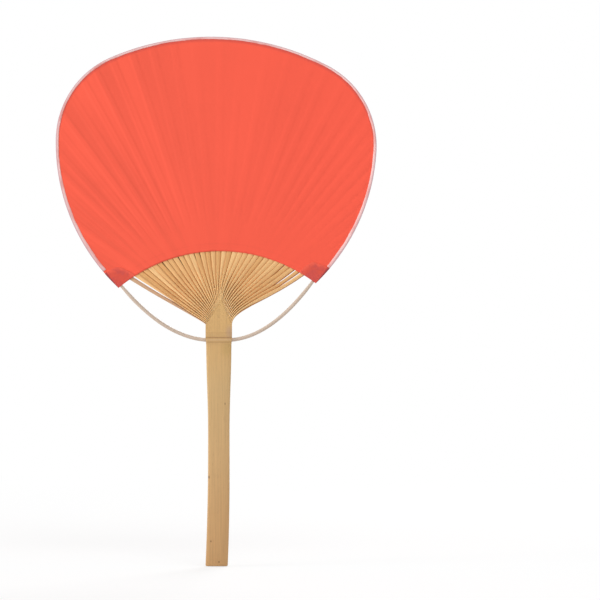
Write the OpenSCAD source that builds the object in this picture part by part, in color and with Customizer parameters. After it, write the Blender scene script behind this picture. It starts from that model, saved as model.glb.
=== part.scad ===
// Round paper fan on a split bamboo frame.
// All lengths are in millimetres and all angles in degrees.
// The origin is the middle of the handle's butt face. +Z runs up the handle,
// +X is to the right as the front is seen, and the front looks towards -Y.

/* [Handle] */
// Height of the split line, where the outermost ribs leave the slat
split_z = 176; // [140:0.1:220]
// Width of the slat at the split line
neck_w = 19.2; // [16:0.1:24]
// Width of the slat just under the joint ring
shoulder_w = 18.4; // [15:0.1:24]
// Width of the slat at its waist, where the hand holds it
waist_w = 15.6; // [12:0.1:20]
// Height of the waist
waist_z = 98; // [70:1:130]
// Width of the slat at the butt
butt_w = 16.2; // [12:0.1:20]
// Thickness of the slat, which is also the depth of a rib at its root
slat_t = 4.6; // [4.2:0.1:6]
// How far the butt leans to the left of the neck
butt_lean = 1.6; // [0:0.1:4]
// Height over which the slat bends to that lean
lean_z = 75; // [40:1:120]
// Height of the crown across the slat's front
crown = 0.5; // [0.1:0.05:0.8]
// Rounding of the slat's front edges
front_r = 1.2; // [0.6:0.1:1.6]
// Rounding of the slat's back edges
back_r = 0.5; // [0.3:0.1:0.9]
// Rounding of the butt
butt_r = 0.8; // [0.4:0.1:1.2]
// Height of the two ridges of the bamboo's joint ring
ring_swell = 0.25; // [0.1:0.05:0.4]
// Rise of the unsplit tongue above the split line
tongue_rise = 17.6; // [10:0.1:20]
// Sideways place of the tongue's point
tongue_shift = 2; // [-3:0.1:3]

/* [Ribs] */
// Number of ribs split from the slat
rib_count = 34; // [28:1:38]
// Distance from the leaf's corners to the outermost ribs, along the lower arc
rib_inset = 11.8; // [10:0.1:16]
// Thickness of a rib above its root
rib_t = 0.45; // [0.35:0.01:0.48]
// Widest that a rib may be under the paper
rib_w_max = 4.2; // [3.6:0.1:4.4]
// Smallest gap between neighbouring ribs at the thread
rib_gap = 0.45; // [0.4:0.01:0.7]
// Unevenness of the ribs' spread along the lower arc
rib_wander = 0.35; // [0:0.01:0.4]
// Height over which the leftmost rib bends out of the slat
bend_left = 2.5; // [2:0.1:6]
// Height over which the rightmost rib bends out of the slat
bend_right = 11; // [5:0.1:13]
// How far the ribs stop short of the rim
rib_short = 1.2; // [0.6:0.1:3]

/* [Leaf] */
// Height of the leaf's top above the split line
leaf_rise = 209.9; // [195:0.1:220]
// Radius of the crown of the outline
crown_r = 183.6; // [165:0.1:205]
// Radius of the two shoulders of the outline
shoulder_r = 65.9; // [60:0.1:72]
// Radius of the two flanks of the outline
flank_r = 144.8; // [135:0.1:158]
// Angle from the top at which a shoulder starts
shoulder_from = 25.7; // [22:0.1:29]
// Angle from the top at which a flank starts
flank_from = 91; // [88:0.1:95]
// How far the leaf is pasted to the left of the handle
leaf_shift = 7; // [5:0.1:9]
// Angle by which the leaf is pasted clockwise
leaf_turn = 2.2; // [1:0.05:3]
// Height of the top of the leaf's lower arc above the split line
arc_rise = 53.6; // [48:0.1:58]
// Radius of the lower arc
arc_r = 115.5; // [112:0.1:126]
// Sideways place of the lower arc's centre
arc_shift = 0.9; // [-2:0.1:2]
// Thickness of each paper sheet
paper_t = 0.17; // [0.1:0.01:0.3]

/* [Rim and corners] */
// Width of the rim tape on each face of the leaf
tape_w = 1.6; // [1:0.1:4]
// Thickness of the rim tape
tape_t = 0.12; // [0.08:0.01:0.2]
// Reach of the ear patches from the leaf's lower corners
ear_reach = 15.5; // [12:0.1:20]
// Thickness of the ear patches
ear_t = 0.15; // [0.08:0.01:0.25]

/* [Bow] */
// Diameter of the bow rod
bow_d = 2.7; // [2:0.1:2.9]
// Play between the bow and its hole at the hole's mouths
bow_play = 0.05; // [0.03:0.01:0.3]
// Distance of the hole's middle below the split line
bow_drop = 11.3; // [10:0.1:16]
// Half the length that lies straight in the hole
bow_flat = 5; // [3:0.1:7]
// Distance from the leaf's corners to the bow, along the lower arc
bow_inset = 2.4; // [2.2:0.1:3]
// Length of each end of the bow under the paper
bow_tuck = 6.1; // [5.9:0.1:6.3]
// Width of the ends of the bow, which are shaved flat
bow_end_w = 2.1; // [1.6:0.1:2.2]
// Length over which the bow is shaved down to its flat ends
bow_shave = 10; // [5:0.5:20]

/* [Thread] */
// Diameter of the weaving thread
thread_d = 0.3; // [0.2:0.01:0.35]
// Height of the thread above the lower arc
thread_up = 5.2; // [4.6:0.1:5.4]

/* [Hidden] */

// Middle of the fan of ribs and of the leaf's paste-up
neck = [0, split_z];
// Width that each rib takes up in the slat
slice = neck_w / rib_count;
// Sliver that the knife leaves open between neighbouring ribs at their roots
kerf = 0.02;
// Exponent that gives the tongue its pointed arch
tongue_power = 1.15;
// Height of the tongue's block below the split line
block_h = 5;
// Height at which the plain slat ends and the tongue's block starts
tongue_z = split_z - block_h;
// Corner rounding left where the slat is planed for splitting
planed_r = 0.1;
// Length over which the slat is planed square below the tongue's block
planed_h = 18;
// Distance of the joint ring's lower ridge below the middle of the bow's hole
ring_drop = 2;
ring_z = split_z - bow_drop - ring_drop;
// Distance between the two ridges of the joint ring
ridge_gap = 3.4;
// Half the height of a ridge
ridge_h = 1;
// Half of the room between the papers along the lower arc, for a rib and the thread
room = rib_t / 2 + thread_d;
// Distance from the thread up to where the papers start to close
room_past = 3;
// Distance above the lower arc up to which the papers keep that room
room_up = thread_up + room_past;
// Distance over which the papers then close onto the ribs
room_close = 8;
// Centre of the lower arc
arc_c = [arc_shift, split_z + arc_rise - arc_r];
// Radius that reaches past the whole leaf from the lower arc's centre
far_r = arc_r + leaf_rise + crown_r / 2;
// Thickness of the blocks that cut the leaf's parts to outline
block_t = 8;
// Share of the room that a tilted rib fills where it goes under the paper
tilt_share = 0.9;
// Share of a rib's way to the paper after which it aims straight at its place there
aim_share = 0.45;
// Number of a rib's rings over which its root thins down to the rib's own thickness
root_rings = 3;
// Exponent that makes the ribs on the right untwist later than those on the left
twist_late = 1.2;
// Share of a rib's way to the paper over which it is whittled to its width there
narrow_by = 0.5;
// Distance before the thread at which a rib lies flat
flat_before = 1.8;
// Distance between the two passes of the thread round an end of the bow
tie_gap = 0.4;
// Faceting of the round tools, and of the bow's hole
smooth = 180;
hole_smooth = 48;

bamboo_colour = "#CDA777";
rib_colour = "#EDBD84";
bow_colour = "#D6C1AE";
leaf_colour = "#F7644E";
ear_colour = "#DE5A50";
tape_colour = "#F5C8C8";
thread_colour = "#EDE2CC";

function rib_name(i) = str("rib_", i < 10 ? "0" : "", i);

// Plain geometry in the plane of the leaf, as [x, z] pairs

function unit(v) = v / norm(v);
function mix(a, b, u) = a + (b - a) * u;
function ease(u) = (1 - cos(180 * min(1, max(0, u)))) / 2;
function bearing(a) = [sin(a), cos(a)];
function cross2(a, b) = a[0] * b[1] - a[1] * b[0];

// Distance along a ray from p to its last crossing of a circle
function ray_circle(p, d, c, r) =
    let (q = p - c, b = q * d)
    -b + sqrt(b * b - q * q + r * r);

// The crossing of two circles that lies to the left (side -1) or right (side 1)
function circles_meet(c1, r1, c2, r2, side) =
    let (
        d = norm(c2 - c1),
        u = (c2 - c1) / d,
        a = (r1 * r1 - r2 * r2 + d * d) / (2 * d),
        h = sqrt(r1 * r1 - a * a),
        p = c1 + a * u + h * [-u[1], u[0]],
        q = c1 + a * u - h * [-u[1], u[0]]
    )
    (p[0] - q[0]) * side > 0 ? p : q;

// Last crossing of a ray with a closed outline, as a distance along the ray
function ray_outline(p, d, pts) = max([
    for (i = [0:len(pts) - 1])
        let (
            a = pts[i],
            e = pts[(i + 1) % len(pts)] - a,
            n = cross2(d, e)
        )
        if (abs(n) > 1e-9)
            let (s = cross2(a - p, d) / n, t = cross2(a - p, e) / n)
            if (s >= 0 && s <= 1) t
]);

// The leaf's outline: a crown, two shoulders and two flanks, all tangent

crown_c = [0, leaf_rise - crown_r];
shoulder_c = crown_c + (crown_r - shoulder_r) * bearing(shoulder_from);
flank_c = shoulder_c + (shoulder_r - flank_r) * bearing(flank_from);
// Angle that each flank turns through, past the lower arc
flank_span = 53;
// Steps that each arc of the outline is drawn with
arc_steps = 20;

function mirrored(p, side) = [p[0] * side, p[1]];

// From the leaf's own axis to the fan's
function pasted(p) =
    neck + [-leaf_shift, 0]
    + [
        p[0] * cos(leaf_turn) + p[1] * sin(leaf_turn),
        p[1] * cos(leaf_turn) - p[0] * sin(leaf_turn)
    ];

function half_outline(out) = concat(
    [for (k = [0:arc_steps - 1]) crown_c + (crown_r + out) * bearing(shoulder_from * k / arc_steps)],
    [
        for (k = [0:arc_steps - 1])
            shoulder_c + (shoulder_r + out) * bearing(mix(shoulder_from, flank_from, k / arc_steps))
    ],
    [for (k = [0:arc_steps]) flank_c + (flank_r + out) * bearing(flank_from + flank_span * k / arc_steps)]
);

// The whole outline, moved outwards by a distance
function outline(out) =
    let (half = half_outline(out), n = len(half))
    concat(
        [for (p = half) pasted(p)],
        [for (k = [n - 1:-1:1]) pasted(mirrored(half[k], -1))]
    );

// A lower corner of the leaf, on the left (side -1) or the right (side 1)
function corner(side) =
    circles_meet(pasted(mirrored(flank_c, side)), flank_r, arc_c, arc_r, side);

// A point on a circle round the lower arc's centre, at a bearing from upright
function on_arc(a, up) = arc_c + (arc_r + up) * bearing(a);
function arc_bearing(p) = atan2(p[0] - arc_c[0], p[1] - arc_c[1]);
// Angle that a length along the lower arc spans
function arc_angle(l) = l / arc_r * 180 / PI;

// The slat

// Height of the tongue's edge at a sideways place
function tongue_edge(x) =
    let (
        side = x < tongue_shift ? -1 : 1,
        reach = neck_w / 2 - side * tongue_shift,
        u = max(0, 1 - abs(x - tongue_shift) / reach)
    )
    split_z + tongue_rise * pow(u, tongue_power);

// Left side of a slice, counted from 0
function slice_x(k) = -neck_w / 2 + k * slice;

// Width of the slat at a height
function slat_w(z) =
    z >= ring_z + ridge_gap ? neck_w
    : z >= ring_z ? mix(shoulder_w, neck_w, (z - ring_z) / ridge_gap)
    : z >= waist_z ? mix(waist_w, shoulder_w, ease((z - waist_z) / (ring_z - waist_z)))
    : mix(butt_w, waist_w, ease(z / waist_z));

// How much the slat is planed flat on its way to the split
function planed(z) = ease(1 - (tongue_z - z) / planed_h);

// Swelling of the slat at the two ridges of its joint ring
function ridge(d) = max(0, 1 - abs(d) / ridge_h);
function swell(z) = ring_swell * (ridge(z - ring_z) + ridge(z - ring_z - ridge_gap));

// How far the rounded butt draws in at a height
function butt_inset(z) = z >= butt_r ? 0 : butt_r - sqrt(butt_r * butt_r - (butt_r - z) * (butt_r - z));

// Steps across the slat's front, along its bent foot and along its grip
crown_steps = 6;
lean_steps = 7;
grip_steps = 10;

// Closed outline of the slat at a height
function slat_section(z) =
    let (
        i = butt_inset(z),
        s = swell(z),
        w = slat_w(z) / 2 - i + s / 2,
        t = slat_t / 2 - i,
        fr = mix(front_r, planed_r, planed(z)),
        br = mix(back_r, planed_r, planed(z)),
        c = mix(crown, 0, planed(z)),
        edge = -t - s + c,
        x0 = -butt_lean * pow(max(0, 1 - z / lean_z), 2)
    )
    [
        for (p = concat(
            [
                for (k = [0:crown_steps])
                    let (u = 2 * k / crown_steps - 1)
                    [u * (w - fr), edge - c * (1 - u * u)]
            ],
            [for (a = [-60:30:0]) [w - fr + fr * cos(a), edge + fr + fr * sin(a)]],
            [for (a = [0:45:90]) [w - br + br * cos(a), t - br + br * sin(a)]],
            [for (a = [90:45:180]) [br - w + br * cos(a), t - br + br * sin(a)]],
            [for (a = [180:30:240]) [fr - w + fr * cos(a), edge + fr + fr * sin(a)]]
        ))
            [p[0] + x0, p[1], z]
    ];

// Heights of the slat's sections: rounded butt, bent foot, grip, joint ring and planed top
slat_levels = concat(
    [for (a = [0:22.5:90]) butt_r * (1 - cos(a))],
    [for (k = [1:lean_steps]) mix(butt_r, lean_z, k / lean_steps)],
    [for (k = [1:grip_steps]) mix(lean_z, ring_z - 2 * ridge_h, k / grip_steps)],
    [for (z = [ring_z, ring_z + ridge_gap], d = [-1, 0, 1]) z + d * ridge_h],
    [tongue_z]
);

// The ribs

// Bearing of each rib from the lower arc's centre, counted from 0 on the left
wander = rands(-1, 1, rib_count, 7);
function rib_bearing(i) =
    let (
        first = arc_bearing(corner(-1)) + arc_angle(rib_inset),
        last = arc_bearing(corner(1)) - arc_angle(rib_inset),
        uneven = i > 0 && i < rib_count - 1 ? wander[i] * arc_angle(rib_wander) : 0
    )
    mix(first, last, i / (rib_count - 1)) + uneven;

// Middle of a rib's root on the tongue's edge
function rib_root(i) = [slice_x(i + 0.5), (tongue_edge(slice_x(i)) + tongue_edge(slice_x(i + 1))) / 2];
// Where a rib reaches the paper
function rib_gate(i) = on_arc(rib_bearing(i), 0);
function rib_dir(i) = unit(rib_gate(i) - rib_root(i));
// Where a rib passes the thread
function rib_cross(i) =
    rib_gate(i) + rib_dir(i) * ray_circle(rib_gate(i), rib_dir(i), arc_c, arc_r + thread_up);

// Room between two neighbouring ribs at the thread, square to them
function rib_pitch(i) =
    let (a = rib_cross(i), b = rib_cross(i + 1), d = unit(rib_dir(i) + rib_dir(i + 1)))
    abs(cross2(b - a, d));
// Room beside an outermost rib's middle line, up to the tip of the bow
function bow_side_room(i, side) =
    let (gate = bow_gate(side), tip = gate + bow_dir(gate[0]) * side * bow_tuck)
    abs(cross2(tip - rib_gate(i), rib_dir(i))) - bow_end_w / 2;
// Width of a rib at the thread and under the paper
function rib_w(i) =
    let (
        left = i > 0 ? rib_pitch(i - 1) - rib_gap : 2 * (bow_side_room(i, -1) - rib_gap),
        right = i < rib_count - 1 ? rib_pitch(i) - rib_gap : 2 * (bow_side_room(i, 1) - rib_gap)
    )
    min(rib_w_max, left, right);

// Places of a rib's rings along its free course
rib_steps = [0, 0.06, 0.12, 0.2, 0.3, 0.42, 0.55, 0.7, 0.85, 1];

// A point of a cubic curve through four points, and its direction there
function bezier(p, t) =
    p[0] * pow(1 - t, 3) + 3 * p[1] * t * pow(1 - t, 2) + 3 * p[2] * t * t * (1 - t) + p[3] * pow(t, 3);
function bezier_dir(p, t) =
    unit((p[1] - p[0]) * pow(1 - t, 2) + 2 * (p[2] - p[1]) * t * (1 - t) + (p[3] - p[2]) * t * t);

// Square to a direction, towards the fan's right-hand side
function right_of(d) = [d[1], -d[0]];

// Four corners of a rib's section: middle p, direction d, width w, thickness t and
// tilt from the plane of the leaf. The section is slanted along d across its width
// and its thickness.
function rib_ring(p, d, w, t, tilt, slant_w = 0, slant_t = 0) =
    let (
        n = right_of(d),
        along = [d[0], 0, d[1]],
        across = [n[0] * cos(tilt), sin(tilt), n[1] * cos(tilt)] * w / 2 + along * slant_w,
        thick = [n[0] * sin(tilt), -cos(tilt), n[1] * sin(tilt)] * t / 2 + along * slant_t,
        m = [p[0], 0, p[1]]
    )
    [m + across + thick, m + across - thick, m - across - thick, m - across + thick];

// Rings of a rib, from its slanted root on the tongue to its slanted tip along the rim
function rib_rings(i) =
    let (
        root = rib_root(i),
        gate = rib_gate(i),
        d = rib_dir(i),
        w = rib_w(i),
        bend = mix(bend_left, bend_right, i / (rib_count - 1)),
        late = mix(1, twist_late, i / (rib_count - 1)),
        p = [root, root + [0, bend], mix(root, gate, aim_share), gate],
        slant = (tongue_edge(slice_x(i + 1)) - tongue_edge(slice_x(i))) / 2 * (slice - kerf) / slice,
        gate_tilt = asin(tilt_share * 2 * (room - rib_t / 2) / w),
        rim = outline(-rib_short),
        side = right_of(d) * w / 2,
        reach_left = ray_outline(gate - side, d, rim),
        reach_right = ray_outline(gate + side, d, rim)
    )
    concat(
        [
            for (k = [0:len(rib_steps) - 1])
                let (t = rib_steps[k], fade = max(0, 1 - k / root_rings))
                rib_ring(
                    bezier(p, t),
                    bezier_dir(p, t),
                    mix(slat_t, w, min(1, t / narrow_by)),
                    mix(rib_t, slice - kerf, fade),
                    mix(90, gate_tilt, ease(pow(t, late))),
                    slant_t = slant * fade
                )
        ],
        [
            rib_ring(gate + d * (thread_up - flat_before), d, w, rib_t, 0),
            rib_ring(
                gate + d * (reach_left + reach_right) / 2, d, w, rib_t, 0,
                slant_w = (reach_right - reach_left) / 2
            )
        ]
    );

// The bow

bow_z = split_z - bow_drop;
// Where the bow goes under the leaf's lower edge, on one side
function bow_gate(side) =
    on_arc(arc_bearing(corner(side)) - side * arc_angle(bow_inset), 0);
function bow_bend(side) = (bow_gate(side)[1] - bow_z) / pow(abs(bow_gate(side)[0]) - bow_flat, 2);
function bow_at(x) =
    let (side = x < 0 ? -1 : 1)
    [x, bow_z + bow_bend(side) * pow(max(0, abs(x) - bow_flat), 2)];
function bow_slope(x) =
    let (side = x < 0 ? -1 : 1)
    2 * side * bow_bend(side) * max(0, abs(x) - bow_flat);
function bow_dir(x) = unit([1, bow_slope(x)]);
// Rise of the bow's middle line at the mouths of its hole
bow_mouth = max(bow_at(neck_w / 2)[1], bow_at(-neck_w / 2)[1]) - bow_z;
bow_hole_d = bow_d + 2 * (bow_mouth + bow_play);
// Thickness of the bow where it goes under the papers, and of its ends
bow_gate_t = 2 * room;
bow_tip_t = rib_t;
// Sides of the bow, and steps along each of its branches
bow_sides = 14;
bow_span_steps = 14;

// A section of the bow: middle p, direction d, width w in the leaf's plane and thickness t
function bow_ring(p, d, w, t) =
    let (n = [-d[1], d[0]])
    [
        for (k = [0:bow_sides - 1])
            let (a = 360 * (k + 0.5) / bow_sides)
            [p[0] + n[0] * cos(a) * w / 2, -sin(a) * t / 2, p[1] + n[1] * cos(a) * w / 2]
    ];

// Rings of one half of the bow, from the hole outwards
function bow_half(side) =
    let (
        gate = bow_gate(side),
        d = bow_dir(gate[0]) * side,
        span = abs(gate[0]) - bow_flat
    )
    concat(
        [
            for (k = [0:bow_span_steps])
                let (
                    x = side * (bow_flat + span * k / bow_span_steps),
                    shaved = max(0, 1 - norm(gate - bow_at(x)) / bow_shave),
                    w = mix(bow_d, bow_end_w, shaved),
                    t = mix(bow_d, bow_gate_t, shaved)
                )
                bow_ring(bow_at(x), bow_dir(x), w, t)
        ],
        [
            for (u = [thread_up - 2 * tie_gap, bow_tuck])
                bow_ring(gate + d * u, d * side, bow_end_w, bow_tip_t)
        ]
    );

// The thread

// Height of the thread's middle above the ribs' middle
thread_y = (rib_t + thread_d) / 2;
// Face of a rib that the thread passes on: the back (1) or the front (-1)
function rib_side(i) = i % 2 == 0 ? 1 : -1;
// Middle of the gap on the right of a rib, at the thread
function gap_mid(i) =
    let (
        a = rib_cross(i) + right_of(rib_dir(i)) * rib_w(i) / 2,
        b = rib_cross(i + 1) - right_of(rib_dir(i + 1)) * rib_w(i + 1) / 2
    )
    (a + b) / 2;
// Where the thread passes an end of the bow
function bow_cross(side, up) =
    let (gate = bow_gate(side), d = bow_dir(gate[0]) * side)
    gate + d * (ray_circle(gate, d, arc_c, arc_r + up));
// A point beside the bow's end, inside it (way -1) or outside it (way 1)
function tie_point(side, way, up) =
    on_arc(arc_bearing(bow_cross(side, up)) + side * way * arc_angle(bow_end_w / 2 + thread_d), up);

// The thread's way: round the left end of the bow, in and out of the ribs, round the right end
thread_path = concat(
    [
        [tie_point(-1, -1, thread_up - tie_gap), -thread_y],
        [tie_point(-1, 1, thread_up - tie_gap), -thread_y],
        [tie_point(-1, 1, thread_up), thread_y]
    ],
    [
        for (i = [0:rib_count - 2])
            for (s = [0, 1])
                [gap_mid(i), rib_side(i + s) * thread_y]
    ],
    [
        [tie_point(1, 1, thread_up), rib_side(rib_count - 1) * thread_y],
        [tie_point(1, 1, thread_up - tie_gap), -rib_side(rib_count - 1) * thread_y],
        [tie_point(1, -1, thread_up - tie_gap), -rib_side(rib_count - 1) * thread_y]
    ]
);
thread_line = [for (p = thread_path) [p[0][0], p[1], p[0][1]]];
// Sides of the thread
thread_sides = 6;

// Ring of a mitred tube at one point of a line that keeps to the arc's cylinder
function thread_ring(line, k) =
    let (
        n = len(line),
        before = k > 0 ? unit(line[k] - line[k - 1]) : unit(line[1] - line[0]),
        after = k < n - 1 ? unit(line[k + 1] - line[k]) : before,
        d = unit(before + after),
        mitre = 1 / (d * after),
        out = unit([line[k][0] - arc_c[0], 0, line[k][2] - arc_c[1]]),
        side = unit(cross(d, out)),
        up = cross(side, d)
    )
    [
        for (j = [0:thread_sides - 1])
            let (a = 90 + 360 * j / thread_sides)
            line[k] + thread_d / 2 * (up * cos(a) + side * sin(a) * mitre)
    ];

// Builders

// A closed solid through rings that hold the same number of points. The two halves of a
// ring are split along opposite diagonals, so that a twisted strip keeps its thickness.
module loft(rings) {
    m = len(rings[0]);
    n = len(rings);
    polyhedron(
        points = [for (ring = rings, p = ring) p],
        faces = concat(
            [[for (j = [0:m - 1]) j]],
            [[for (j = [m - 1:-1:0]) (n - 1) * m + j]],
            [
                for (i = [0:n - 2], j = [0:m - 1])
                    let (a = i * m + j, b = i * m + (j + 1) % m)
                    each j < m / 2
                        ? [[a, a + m, b], [b, a + m, b + m]]
                        : [[a, b + m, b], [a, a + m, b + m]]
            ]
        ),
        convexity = 6
    );
}

// The leaf's outline, moved outwards by a distance, as a block thicker than the leaf
module leaf_block(out) {
    rotate([90, 0, 0])
        linear_extrude(height = block_t, center = true)
            polygon(outline(out));
}

// Turned solid round the lower arc's centre, between two distances from the papers' inner faces
module layer(from, to) {
    r1 = arc_r + room_up;
    r2 = r1 + room_close;
    translate([arc_c[0], 0, arc_c[1]])
        rotate([90, 0, 0])
            rotate_extrude($fn = smooth)
                polygon([
                    [arc_r, room + from],
                    [r1, room + from],
                    [r2, rib_t / 2 + from],
                    [far_r, rib_t / 2 + from],
                    [far_r, rib_t / 2 + to],
                    [r2, rib_t / 2 + to],
                    [r1, room + to],
                    [arc_r, room + to]
                ]);
}

// Turned solid between the papers' outer faces on both sides, thickened by a distance
module stack(out) {
    r1 = arc_r + room_up;
    r2 = r1 + room_close;
    translate([arc_c[0], 0, arc_c[1]])
        rotate([90, 0, 0])
            rotate_extrude($fn = smooth)
                polygon([
                    [arc_r, -room - out],
                    [r1, -room - out],
                    [r2, -rib_t / 2 - out],
                    [far_r, -rib_t / 2 - out],
                    [far_r, rib_t / 2 + out],
                    [r2, rib_t / 2 + out],
                    [r1, room + out],
                    [arc_r, room + out]
                ]);
}

// The papers with everything between them, as one block to fold strips round
module pasted_leaf() {
    intersection() {
        leaf_block(0);
        stack(paper_t);
    }
}

// The disc about a lower corner that an ear patch keeps within
module ear_disc(side) {
    c = corner(side);
    translate([c[0], 0, c[1]])
        rotate([90, 0, 0])
            cylinder(h = block_t, r = ear_reach, center = true, $fn = smooth);
}

// The pieces

module handle() {
    color(bamboo_colour)
        difference() {
            union() {
                loft([for (z = slat_levels) slat_section(z)]);
                rotate([90, 0, 0])
                    linear_extrude(height = slat_t, center = true)
                        polygon(concat(
                            [[neck_w / 2, tongue_z], [-neck_w / 2, tongue_z]],
                            [for (k = [0:rib_count]) [slice_x(k), tongue_edge(slice_x(k))]]
                        ));
            }
            translate([0, 0, bow_z])
                rotate([0, 90, 0])
                    cylinder(h = neck_w * 2, d = bow_hole_d, center = true, $fn = hole_smooth);
        }
}

module rib(i) {
    color(rib_colour)
        loft(rib_rings(i - 1));
}

module bow() {
    left = bow_half(-1);
    color(bow_colour)
        loft(concat([for (k = [len(left) - 1:-1:0]) left[k]], bow_half(1)));
}

module weaving_thread() {
    color(thread_colour)
        loft([for (k = [0:len(thread_line) - 1]) thread_ring(thread_line, k)]);
}

module front_leaf() {
    color(leaf_colour)
        intersection() {
            leaf_block(0);
            layer(0, paper_t);
        }
}

module rear_leaf() {
    color(leaf_colour)
        intersection() {
            leaf_block(0);
            mirror([0, 1, 0])
                layer(0, paper_t);
        }
}

module rim_tape() {
    color(tape_colour)
        difference() {
            intersection() {
                leaf_block(tape_t);
                stack(paper_t + tape_t);
            }
            pasted_leaf();
            leaf_block(-tape_w);
            ear_disc(-1);
            ear_disc(1);
        }
}

module ear_patch(side) {
    color(ear_colour)
        difference() {
            intersection() {
                leaf_block(ear_t);
                stack(paper_t + ear_t);
                ear_disc(side);
            }
            pasted_leaf();
        }
}

module left_ear_patch() {
    ear_patch(-1);
}

module right_ear_patch() {
    ear_patch(1);
}

handle();
for (i = [1:rib_count]) {
    rib(i);
}
bow();
weaving_thread();
front_leaf();
rear_leaf();
rim_tape();
left_ear_patch();
right_ear_patch();
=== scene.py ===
"""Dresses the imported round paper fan: its split bamboo frame, pasted papers, rim tape and ears.

Plans and meshes are worked out in millimetres, plans as [x, z] pairs in the plane of the leaf.
Finished pieces are in metres in the frame of the solids: +Z runs up the handle, and the front
looks towards -Y.
"""

import logging
import math
from collections.abc import Callable, Iterable
from dataclasses import dataclass
from enum import Enum
from itertools import accumulate

import bmesh
import bpy
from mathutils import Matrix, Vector, noise


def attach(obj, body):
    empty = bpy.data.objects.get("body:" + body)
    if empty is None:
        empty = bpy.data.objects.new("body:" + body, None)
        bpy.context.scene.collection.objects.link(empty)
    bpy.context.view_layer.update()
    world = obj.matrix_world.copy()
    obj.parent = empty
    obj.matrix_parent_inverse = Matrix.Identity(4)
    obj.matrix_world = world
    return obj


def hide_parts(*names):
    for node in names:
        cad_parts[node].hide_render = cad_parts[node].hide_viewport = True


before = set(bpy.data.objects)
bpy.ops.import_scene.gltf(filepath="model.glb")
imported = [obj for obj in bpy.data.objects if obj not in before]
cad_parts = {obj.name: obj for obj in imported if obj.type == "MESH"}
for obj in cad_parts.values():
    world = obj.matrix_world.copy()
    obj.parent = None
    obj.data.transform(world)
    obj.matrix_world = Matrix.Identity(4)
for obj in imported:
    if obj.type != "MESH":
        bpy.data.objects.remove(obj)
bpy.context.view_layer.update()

MM = 0.001
BODY = "root"
LAY = "lay"
WHITE = (1, 1, 1, 1)
log = logging.getLogger("paper_fan")

Socket = bpy.types.NodeSocket
Span = tuple[float, float]
Triple = tuple[float, float, float]
Colour = tuple[float, float, float, float]
Point = tuple[Vector, Vector]
Place = Callable[[int, int], Point]


class Slot(Enum):
    """Names of the material slots, one kept with each piece."""

    HANDLE = "handle_bamboo"
    RIB = "rib_bamboo"
    BOW = "bow_rod"
    LEAF = "leaf_paper"
    EAR = "ear_paper"
    RIM = "rim_paper"


class Face(Enum):
    """The two faces of the fan, with the sign of Y that each one looks along."""

    FRONT = -1
    REAR = 1


class Side(Enum):
    """The two sides of the fan, with the sign of X that each one lies on."""

    LEFT = -1
    RIGHT = 1


def mix(a: float, b: float, u: float) -> float:
    """Value between a and b at the share u."""
    return a + (b - a) * u


def ease(u: float) -> float:
    """Share u from 0 to 1, with a soft start and end."""
    return (1 - math.cos(math.pi * min(1.0, max(0.0, u)))) / 2


def bearing(angle: float) -> Vector:
    """Direction in the leaf's plane at an angle from upright, in radians."""
    return Vector((math.sin(angle), math.cos(angle)))


def heading(degrees: float) -> Vector:
    """Direction in the leaf's plane at an angle from upright, in degrees."""
    return bearing(math.radians(degrees))


def cross2(a: Vector, b: Vector) -> float:
    """Cross product of two directions in the leaf's plane."""
    return a.x * b.y - a.y * b.x


def right_of(d: Vector) -> Vector:
    """Direction square to d, towards the fan's right-hand side."""
    return Vector((d.y, -d.x))


def at(p: Vector, y: float) -> Vector:
    """Point p of the leaf's plane, at a depth."""
    return Vector((p.x, y, p.y))


def running(points: list[Vector]) -> list[float]:
    """Distances along a line of points, up to each one."""
    return list(accumulate(((b - a).length for a, b in zip(points, points[1:])), initial=0.0))


def linear(red: int, green: int, blue: int) -> Colour:
    """Colour for a shader socket, from the three values that a screen shows."""
    shares = (c / 255 for c in (red, green, blue))
    return (*(s / 12.92 if s <= 0.04045 else ((s + 0.055) / 1.055) ** 2.4 for s in shares), 1.0)


def solid(node: str) -> bpy.types.Mesh:
    """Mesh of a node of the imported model."""
    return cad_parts[node].data


def circle_reach(p: Vector, d: Vector, centre: Vector, radius: float) -> float:
    """Distance along a ray to its last crossing of a circle.

    Args:
        p: Start of the ray.
        d: Unit direction of the ray.
        centre: Centre of the circle.
        radius: Radius of the circle.

    Returns:
        The distance from p.
    """
    q = p - centre
    along = q.dot(d)
    return -along + math.sqrt(along * along - q.dot(q) + radius * radius)


def rim_reach(p: Vector, d: Vector, rim: list[Vector]) -> float:
    """Distance along a ray to its last crossing of the leaf's outline, or 0.

    Args:
        p: Start of the ray.
        d: Unit direction of the ray.
        rim: Points of the outline.

    Returns:
        The distance from p.
    """
    parallel, slack = 1e-9, 1e-6
    found = 0.0
    for a, b in zip(rim, rim[1:]):
        edge = b - a
        n = cross2(d, edge)
        if abs(n) < parallel:
            continue
        if -slack <= cross2(a - p, d) / n <= 1 + slack:
            found = max(found, cross2(a - p, edge) / n)
    return found


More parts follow.
